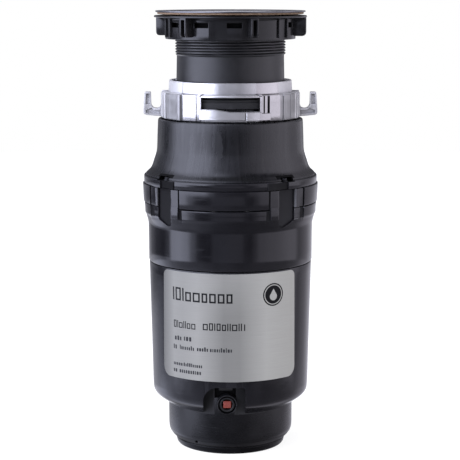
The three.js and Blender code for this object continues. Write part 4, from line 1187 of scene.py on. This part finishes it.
def chamber_piece():
    def body(r):
        return r

    rows = [
        (9.2, 149.0), (9.2, 171.7), (9.5, 172.0), (13.1, 172.0), (13.4, 171.7), (15.3, 156.4), (16.6, 155.3), (52.0, 153.2), (54.6, 154.6), (55.5, 157.0), (55.5, 189.0), (55.8, 189.2),
        (58.1, 189.2), (58.3, 189.5), (58.3, 191.0),
        (relief(65.9, 65.2, 65.4, 0, 28.4), 191.1), (relief(66.3, 65.3, 65.5, 0, 28.4), 190.8), (relief(66.35, 65.3, 65.6, 0, 28.4), 190.2),
        (relief(66.1, 65.3, 65.5, 0, 28.4), 187.2), (relief(66.05, 65.3, 65.4, 0, 28.4), 186.6), (relief(66.0, 65.3, 65.3, 0, 28.4), 184.2),
        (relief(65.9, 65.4, 65.3, 0, 28.4), 183.2), (relief(65.3, 65.1, 65.0, 0, 28.4), 182.5),
        (64.9, 180.8), (64.4, 179.0), (63.95, 177.4), (63.7, 176.3),
        (63.5, 175.2), (63.42, 173.5), (63.3, 165.0), (63.26, 155.0), (63.22, 146.6), (62.9, 145.9), (62.4, 145.6), (60.8, 145.6), (60.6, 145.9), (60.6, 149.0),
    ]
    ob = revolve("chamber_form", rows, 300, JOINT_EDGES)
    cut(ob, pocket_tools())
    pad_outline = []
    for cx, cz, a0 in ((26, 14.4, 0), (-26, 14.4, 90), (-26, -14.4, 180), (26, -14.4, 270)):
        for k in range(7):
            t = rad(a0 + 15 * k)
            pad_outline.append((cx + 5 * math.cos(t), OUTLET_Z + cz + 5 * math.sin(t)))
    pad = extrude("pad", pad_outline, 56.4, 71.0, "xz")
    pad = bevel(pad, 0.6, 3, 40)
    cut(ob, [tube_y("bore", 0, OUTLET_Z, 16.5, 44, 63.8)])
    cut(pad, [tube_y("bore", 0, OUTLET_Z, 16.5, 50, 80)])
    cut(pad, [tube_y("hole", x, OUTLET_Z, 2.6, 60, 80, 32) for x in (-25.4, 25.4)])
    # trim the pad's inner end to the chamber's wall
    core = revolve("core", [(0, 140), (55.6, 140), (55.6, 200), (0, 200)], 120)
    cut(pad, [core])
    seat = revolve("seat", fillet([(16.6, 69.4), (19.8, 69.4), (19.8, 70.9), (18.2, 70.9), (18.0, 70.5), (17.6, 70.5), (17.4, 70.9), (16.6, 70.9)], 0.15, 2), 96)
    seat.data.transform(Matrix.Translation((0, 0, OUTLET_Z * MM)) @ Matrix.Rotation(-math.pi / 2, 4, "X"))
    return join("chamber_form", [ob, pad, seat])


chamber = finish_piece(chamber_piece(), "chamber_moulding", "housing", "disposer", ["chamber_housing"], 36)
# the pockets and groove floors under the joint are left matt, with painted shade darkening their left side
paint(chamber, "matte", lambda az, r, z, n: r > 60 and 175 < z < 191.3 and abs(corner_t(az)) < 8.5 and r < 64.0 and abs(n.z) < 0.2 and math.hypot(n.x, n.y) > 0.9 and z > 177.6)
paint(chamber, "matte", lambda az, r, z, n: 64.5 < r < 66 and 183 < z < 191 and 28.5 < u_one(az) < 33)


def hex_screw(name, x, y, seat, head_r, head_h, shank_r, tip, up=True):
    """Hex washer head with a cross recess, on a plain shank with a pointed end."""
    d = 1 if up else -1
    parts = [revolve("shank", fillet([(0, tip), (shank_r * 0.5, tip + d * 0.6), (shank_r, tip + d * 1.8), (shank_r, seat + d * 0.2), (0, seat + d * 0.2)], 0.1, 2), 24)]
    parts.append(revolve("flange", fillet([(0, seat), (head_r, seat), (head_r, seat + d * 0.55), (head_r * 0.8, seat + d * 0.9), (0, seat + d * 0.9)], 0.15, 2), 40))
    hexa = [(head_r * 0.78 * math.cos(math.pi / 3 * k), head_r * 0.78 * math.sin(math.pi / 3 * k)) for k in range(6)]
    z0, z1 = sorted((seat + d * 0.4, seat + d * head_h))
    h = bevel(extrude("hex", hexa, z0, z1, "xy"), 0.25, 2, 30)
    a, b = sorted((seat + d * (head_h - 0.9), seat + d * (head_h + 1)))
    w = head_r * 0.42
    cut(h, [boxed("x", (-w, -0.35, a), (w, 0.35, b))])
    cut(h, [boxed("y", (-0.35, -w, a), (0.35, w, b))])
    parts.append(h)
    ob = join(name, parts)
    ob.data.transform(Matrix.Translation((x * MM, y * MM, 0)))
    return ob


for i, a in enumerate(POCKETS):
    x, y = polar(SCREW_R, a)
    s = hex_screw("screw", x, y, 211.6, 3.2, 2.4, 1.5, 181.6)
    finish_piece(s, f"joint_screw_{i + 1}", "black_steel", "disposer", [f"housing_screw_{i + 1}"], 30)


# painted highlight on the pockets' rounded rims
paint(chamber, "rim_highlight", pocket_rim_highlight)


# ------------------------------------------------------------------ motor shell, label, base
def shell_r(z):
    return 60.35 + 2.45 * (z - 44.6) / (145.2 - 44.6)


def motor_shell_piece():
    rows = [(62.2, 145.2), (62.65, 145.0), (62.82, 144.5), (62.65, 138.0), (61.2, 79.3), (60.55, 49.8), (60.3, 45.6), (59.95, 43.6), (59.1, 42.0),
            (57.9, 40.6), (56.5, 39.4), (53.4, 37.1), (50.9, 35.3), (50.2, 34.7), (49.4, 34.2), (49.0, 34.4), (49.0, 36.4), (51.6, 38.6),
            (56.6, 42.4), (57.6, 43.8), (58.0, 50.0), (60.2, 145.0), (60.5, 145.2)]
    ob = revolve("shell_form", rows, 220)
    out = [(-20.5, 30), (11.4, 30), (11.4, 54.0)]
    for k in range(1, 7):
        t = rad(15 * k)
        out.append((11.4 - 2.6 * (1 - math.cos(t)), 54.0 + 3.0 * math.sin(t)))
    for k in range(0, 10):
        t = rad(10 * k)
        out.append((-9.5 - 11.0 * math.sin(t), 57.0 - 11.5 * (1 - math.cos(t))))
    out.append((-20.5, 40))
    tool = extrude("alcove", out, -75, -44, "xz")
    cut(ob, [tool])
    return bevel(ob, 0.45, 3, 40)


finish_piece(motor_shell_piece(), "lower_shell", "housing", "disposer", ["motor_shell"], 34)


def on_shell(az, z, h):
    r = shell_r(z) + h
    x, y = polar(r, az)
    return (x * MM, y * MM, z * MM)


A0, A1, Z0, Z1 = -53.1, 50.2, 61.7, 144.2


def label_piece():
    """Foil label lying on the shell, with rounded corners and a rolled edge."""
    nu, nv = 120, 90
    mmdeg = 62 * math.pi / 180  # mm of arc per degree
    top_r, low_r = 4.5, 8.0

    def extent(z):
        d0 = Z1 - z
        d1 = z - Z0
        cutb = 0.0
        if d0 < top_r:
            cutb = top_r - math.sqrt(max(0, top_r ** 2 - (top_r - d0) ** 2))
        if d1 < low_r:
            cutb = low_r - math.sqrt(max(0, low_r ** 2 - (low_r - d1) ** 2))
        # the label's sides lean out a little towards its foot
        return A0 - (128 - z) * 0.0375 + cutb / mmdeg, A1 + (128 - z) * 0.038 - cutb / mmdeg

    zs = np.concatenate([Z0 + low_r * (1 - np.cos(np.linspace(0, math.pi / 2, 14))), np.linspace(Z0 + low_r, Z1 - top_r, 50)[1:-1], Z1 - top_r * (1 - np.cos(np.linspace(math.pi / 2, 0, 10)))])
    zs[0] += 0.02
    zs[-1] -= 0.02
    top, bot, f = [], [], []
    for z in zs:
        a, b = extent(z)
        for j in range(nu + 1):
            az = a + (b - a) * j / nu
            top.append(on_shell(az, z, 0.62))
            bot.append(on_shell(az, z, 0.16))
    n1, off, nv = nu + 1, len(top), len(zs) - 1
    for i in range(nv):
        for j in range(nu):
            q = i * n1 + j
            f.append([q, q + 1, q + n1 + 1, q + n1])
            f.append([off + q, off + q + n1, off + q + n1 + 1, off + q + 1])
    for j in range(nu):
        f.append([j, off + j, off + j + 1, j + 1])
        q = nv * n1 + j
        f.append([q, q + 1, off + q + 1, off + q])
    for i in range(nv):
        q = i * n1
        f.append([q, q + n1, off + q + n1, off + q])
        q = i * n1 + nu
        f.append([q, off + q, off + q + n1, q + n1])
    return bevel(mesh_object("label_form", top + bot, f), 0.12, 2, 50)


finish_piece(label_piece(), "label_plate", "label", "disposer", ["nameplate"], 40)


def label_patch(cols, h0=0.60, h1=0.66):
    """Printed shape on the label from columns (azimuth, low z, high z)."""
    v, f = [], []
    for a, lo_, hi_ in cols:
        v += [on_shell(a, lo_, h1), on_shell(a, hi_, h1), on_shell(a, hi_, h0), on_shell(a, lo_, h0)]
    for i in range(len(cols) - 1):
        b = 4 * i
        for k in range(4):
            q = (k + 1) % 4
            f.append([b + k, b + q, b + 4 + q, b + 4 + k])
    f.append([3, 2, 1, 0])
    e = 4 * (len(cols) - 1)
    f.append([e, e + 1, e + 2, e + 3])
    return mesh_object("patch", v, f)


DEG = 180 / math.pi / 62.5


def bar(a0, a1, z0, z1, r=0.9):
    """Rounded bar: a blank stand-in for a printed word."""
    r = min(r, (z1 - z0) * 0.48, (a1 - a0) / DEG * 0.45)
    cols = []
    for t in np.linspace(0, math.pi / 2, 6):
        cols.append((a0 + r * DEG * (1 - math.sin(t)) if False else a0 + r * DEG * (1 - math.cos(t)), z0 + r * (1 - math.sin(t)), z1 - r * (1 - math.sin(t))))
    for a in np.arange(a0 + r * DEG + 1.0, a1 - r * DEG - 0.5, 1.0):
        cols.append((a, z0, z1))
    for t in np.linspace(math.pi / 2, 0, 6):
        cols.append((a1 - r * DEG * (1 - math.cos(t)), z0 + r * (1 - math.sin(t)), z1 - r * (1 - math.sin(t))))
    return label_patch(cols)


def hollow(a0, a1, z0, z1, t):
    """Blank box drawn in line: two uprights and two cross bars, stroke t mm."""
    w = (a1 - a0) / DEG
    if w < 2.6 * t:
        mid = (a0 + a1) / 2
        return [bar(mid - t / 2 * DEG, mid + t / 2 * DEG, z0, z1, 0.1)]
    td = t * DEG
    return [bar(a0, a0 + td, z0, z1, 0.1), bar(a1 - td, a1, z0, z1, 0.1), bar(a0 + td * 0.98, a1 - td * 0.98, z0, z0 + t, 0.02), bar(a0 + td * 0.98, a1 - td * 0.98, z1 - t, z1, 0.02)]


def word(a0, a1, z0, x_height, tall, seed, line=False):
    """Greeked word: a run of blank boxes of uneven width, some a little taller; large ones drawn in line, small ones solid."""
    out, a, k = [], a0, seed
    unit = x_height * DEG
    while a < a1 - 0.3 * unit:
        k = (k * 1103515245 + 12345) % 2147483648
        w = unit * (0.16, 0.62, 0.70, 0.80)[(k >> 16) % 4] if line else unit * (0.30, 0.42, 0.50, 0.60)[(k >> 16) % 4]
        h = tall if (k >> 20) % 4 == 0 or line and (k >> 16) % 4 == 0 else x_height
        w = min(w, a1 - a)
        if line:
            out += hollow(a, a + w, z0, z0 + h, 0.17 * x_height)
        else:
            out.append(bar(a, a + w, z0, z0 + h, 0.2 * min(x_height, 2.4)))
        a += w + unit * (0.20 if line else 0.26)
    return out


def label_print(large):
    """Blank words where print would be: one run of boxes per line of print."""
    if large:
        words = [(-43.2, 4.6, 122.1, 7.2, 9.9, 7, True), (-43.0, -23.4, 101.0, 4.3, 5.6, 11, True), (-19.3, 10.7, 101.2, 4.9, 5.6, 5, True)]
    else:
        words = [
            (-42.4, -36.3, 91.2, 3.0, 3.5, 3), (-34.2, -28.2, 91.4, 3.3, 3.5, 9),
            (-43.7, -40.2, 84.2, 3.2, 3.6, 2), (-37.9, -25.8, 84.4, 2.5, 3.5, 21), (-23.9, -15.3, 84.6, 2.5, 3.5, 15), (-14.3, 1.5, 84.6, 2.5, 3.5, 8),
            (-44.0, -19.6, 71.6, 2.2, 2.9, 4), (-44.2, -40.2, 66.2, 2.6, 2.8, 6), (-38.6, -20.0, 66.2, 2.6, 2.8, 10),
        ]
    out = []
    for w in words:
        out += word(*w)
    return out


MARK_A, MARK_Z, MARK_R = 30.7, 127.4, 8.7


def disc_cols(r, n=40):
    return [(MARK_A + r * math.cos(t) * DEG, MARK_Z - r * math.sin(t), MARK_Z + r * math.sin(t)) for t in np.linspace(math.pi - 0.02, 0.02, n)]


finish_piece(join("print", label_print(True)), "label_words", "ink", "disposer")
finish_piece(join("print_small", label_print(False)), "label_small_words", "ink_grey", "disposer")
finish_piece(label_patch(disc_cols(MARK_R)), "label_mark", "ink", "disposer")


def droplet():
    """Plain droplet and a thin ring on the dark disc."""
    r = 3.1
    cols = []
    for x in np.linspace(-r * 0.995, r * 0.995, 25):
        low = -math.sqrt(r * r - x * x)
        k = abs(x) / r
        high = (1 - k) ** 0.75 * 6.0 - 0.2 if k < 0.82 else math.sqrt(r * r - x * x)
        high = max(high, math.sqrt(max(0.0, r * r - x * x)) * (0.35 if k < 0.82 else 1))
        cols.append((MARK_A + x * DEG, MARK_Z - 1.4 + low, MARK_Z - 1.4 + high))
    parts = [label_patch(cols, 0.64, 0.70)]
    n = 48
    for i in range(n):
        t0, t1 = 2 * math.pi * i / n, 2 * math.pi * (i + 1) / n
        q = []
        for rr in (7.0, 7.7):
            for t in (t0, t1):
                q.append((MARK_A + rr * math.cos(t) * DEG, MARK_Z + rr * math.sin(t)))
        order = [q[0], q[1], q[3], q[2]]
        v = [on_shell(a, z, 0.70) for a, z in order] + [on_shell(a, z, 0.64) for a, z in order]
        parts.append(mesh_object("arc", v, [[0, 1, 2, 3], [7, 6, 5, 4], [0, 4, 5, 1], [1, 5, 6, 2], [2, 6, 7, 3], [3, 7, 4, 0]]))
    return join("droplet", parts)


finish_piece(droplet(), "label_droplet", "label", "disposer")


def base_piece():
    rows = fillet([
        (0, 0.0), (38.6, 0.0), (39.2, 0.7), (40.2, 0.7), (40.8, 0.0), (41.3, 0.2), (42.0, 1.2), (42.6, 3.6), (42.9, 4.9), (42.3, 5.5), (43.6, 5.9), (45.6, 7.7),
        (47.4, 10.2), (48.1, 12.4), (48.35, 16.0), (48.45, 33.0), (48.45, 61.2), (48.1, 61.5), (46.0, 61.5), (45.7, 61.2), (45.4, 12.8), (40.6, 5.5), (39.6, 3.0), (0, 3.0),
    ], 0.4, 3)
    ob = revolve("base_form", rows, 200)
    screws = [polar(36.5, a) for a in (60, 120, 240, 300)]
    tools = [tube_y("cable", 0, CABLE_Z, 10.9, 36, 56), tube_y("reset", RESET_X, RESET_Z, 5.3, -60, -40, 48)]
    tools += [tube_z("csk", x, y, 3.8, -1, 4, 32) for x, y in screws] + [boxed("rec", (-17, 8, -1), (17, 34, 2.1))]
    cut(ob, tools)
    cut(ob, [boxed("slot", (-12.2, -50.6, 46.2), (4.2, -43.5, 56.8))])
    cut(ob, [tube_y("drain", -26.0, 9.0, 1.2, -60, -30, 24)])
    ob = bevel(ob, 0.3, 2, 40)
    n = 64
    collar = revolve("collar", fillet([(5.3, 44.6), (7.6, 44.6), (7.6, 52.7), (7.35, 53.2), (6.95, 53.2), (6.7, 52.8), (6.6, 50.4), (5.3, 50.2)], 0.3, 3), n)
    collar.data.transform(Matrix.Translation((RESET_X * MM, 0, RESET_Z * MM)) @ Matrix.Rotation(math.pi / 2, 4, "X"))
    cable = revolve("cable_boss", fillet([(10.9, 42), (13.8, 42), (13.8, 49.6), (10.9, 49.6)], 0.4, 3), n)
    cable.data.transform(Matrix.Translation((0, 0, CABLE_Z * MM)) @ Matrix.Rotation(-math.pi / 2, 4, "X"))
    fins = []
    for a in range(0, 360, 30):
        rib = boxed("rib", (-0.6, -39.0, 2.9), (0.6, -12.0, 6.0))
        fins.append(turned_to(rib, a + 15))
    bosses = [revolve("boss", fillet([(2.0, 2.0), (4.6, 2.0), (4.6, 8.0), (2.0, 8.0)], 0.3, 2), 32) for _ in screws]
    for b, (x, y) in zip(bosses, screws):
        b.data.transform(Matrix.Translation((x * MM, y * MM, 0)))
    # clip bar across the recess above the reset collar
    barp = bevel(boxed("clip", (-8.8, -48.9, 52.0), (1.6, -46.2, 55.0)), 0.5, 3, 40)
    side = bevel(boxed("clip_side", (-12.9, -48.2, 45.9), (-12.0, -45.2, 57.0)), 0.2, 2, 40)
    return join("base_form", [ob, collar, cable, *fins, *bosses, barp, side])


base = finish_piece(base_piece(), "base_cup", "base", "disposer", ["base_housing"], 36)
# painted shade: the lower band of the base takes the darker, duller copy
paint(base, "base_foot_shade", lambda az, r, z, n: z < 10.6 and n.z < 0.3)
# painted light: the base wall inside the alcove takes a lighter colour to offset the alcove's shade
paint(base, "alcove", lambda az, r, z, n: 41.5 < z < 60 and abs(az) < 32 and r > 47.5)


def button_piece():
    cap = boxed("cap", (RESET_X - 3.0, -52.0, RESET_Z - 2.65), (RESET_X + 3.0, -48.2, RESET_Z + 2.65))
    cap = bevel(cap, 0.35, 3, 40)
    dish = revolve("dish", [(0, -0.8), (2.0, -0.5), (2.4, 0.6), (0, 0.6)], 32)
    dish.data.transform(Matrix.Translation((RESET_X * MM, -52.2 * MM, RESET_Z * MM)) @ Matrix.Rotation(math.pi / 2, 4, "X"))
    stem = bevel(boxed("stem", (RESET_X - 2.2, -49.0, RESET_Z - 1.9), (RESET_X + 2.2, -40.0, RESET_Z + 1.9)), 0.3, 2, 40)
    drop(dish)
    return join("button_form", [cap, stem])


bush = revolve("reset_bush_form", fillet([(4.05, 43.6), (5.15, 43.6), (5.15, 50.3), (5.6, 50.5), (5.6, 52.3), (5.35, 52.6), (4.5, 52.6), (4.2, 52.35), (4.05, 51.6)], 0.25, 3), 64)
bush.data.transform(Matrix.Translation((RESET_X * MM, 0, RESET_Z * MM)) @ Matrix.Rotation(math.pi / 2, 4, "X"))
finish_piece(bush, "reset_bushing", "bush", "disposer")
# painted shade: a near-black ring round the reset collar and a plate behind the alcove, put where there is only shade
recess_shade_ring = revolve("reset_recess_shade_ring_form", fillet([(5.2, 44.8), (6.7, 44.8), (6.7, 50.6), (5.2, 50.6)], 0.1, 2), 48)
recess_shade_ring.data.transform(Matrix.Translation((RESET_X * MM, 0, RESET_Z * MM)) @ Matrix.Rotation(math.pi / 2, 4, "X"))
back = bevel(boxed("recess_shade_back", (-12.6, -46.0, 45.8), (4.6, -44.6, 57.2)), 0.2, 2, 40)
finish_piece(join("recess_shade_form", [recess_shade_ring, back]), "reset_recess_shade", "shade", "disposer")
finish_piece(button_piece(), "reset_cap", "red", "reset", ["reset_button"], 40)

# ------------------------------------------------------------------ brush springs
def coil(name, x0, x1, z, r, wire, turns, per=28, sides=10):
    """Closed-end coil along x: pitch falls to one wire thickness at both ends."""
    v, f = [], []
    n = int(turns * per)
    lead = []
    for i in range(n + 1):
        t = i / per
        near = min(t, turns - t)
        lead.append(0.32 if near < 0.9 else 1.0)
    run = np.concatenate([[0], np.cumsum(lead[1:])])
    run = run / run[-1]
    for i in range(n + 1):
        t = 2 * math.pi * i / per
        x = x0 + wire + (x1 - x0 - 2 * wire) * run[i]
        for k in range(sides):
            q = 2 * math.pi * k / sides
            rr = r + wire * math.cos(q)
            v.append(((x + wire * math.sin(q)) * MM, rr * math.cos(t) * MM, (z + rr * math.sin(t)) * MM))
    for i in range(n):
        for k in range(sides):
            q = (k + 1) % sides
            f.append([i * sides + k, i * sides + q, (i + 1) * sides + q, (i + 1) * sides + k])
    f.append(list(range(sides)))
    f.append([n * sides + k for k in range(sides - 1, -1, -1)])
    return mesh_object(name, v, f)


for tag, side in (("a", 1), ("b", -1)):
    ob = coil("spring_form", 27.4, 33.2, 74.2, 2.4, 0.30, 5)
    if side < 0:
        ob.data.transform(Matrix.Rotation(math.pi, 4, "Z"))
    finish_piece(ob, f"brush_spring_coil_{tag}", "steel", "disposer", [f"brush_spring_{tag}"], 50)
    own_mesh(ob)

# ------------------------------------------------------------------ carried-over CAD nodes
CARRIED = {
    "neck_snap_ring": "dark_steel", "dishwasher_inlet_plug": "neck", "grind_ring": "stainless", "chamber_seal": "rubber",
    "access_cover": "dark_steel", "access_cover_screw": "steel", "ground_screw": "green", "overload_protector": "phenolic",
    "bridge_rectifier": "epoxy", "lower_end_bell": "aluminium", "lower_bearing": "bronze", "stator_can": "dark_steel",
    "magnet_north": "ferrite", "magnet_south": "ferrite", "brush_plate": "phenolic", "brush_holder_a": "brass", "brush_holder_b": "brass",
    "carbon_brush_a": "carbon", "carbon_brush_b": "carbon",
    "rotor_shaft": "stainless", "armature_core": "stack", "armature_windings": "winding", "commutator": "copper",
    "upper_end_bell": "aluminium", "upper_bearing": "bronze", "motor_through_bolt_1": "steel", "motor_through_bolt_2": "steel",
    "shaft_seal": "rubber", "water_slinger": "base", "turntable": "stainless", "turntable_nut": "steel",
    "impeller_a": "stainless", "impeller_b": "stainless", "impeller_rivet_a": "dark_steel", "impeller_rivet_b": "dark_steel",
    "base_screw_1": "steel", "base_screw_2": "steel", "base_screw_3": "steel", "base_screw_4": "steel",
}
for node, key_ in CARRIED.items():
    ob = NODES[node]
    ob.data.materials.clear()
    ob.data.materials.append(M[key_])
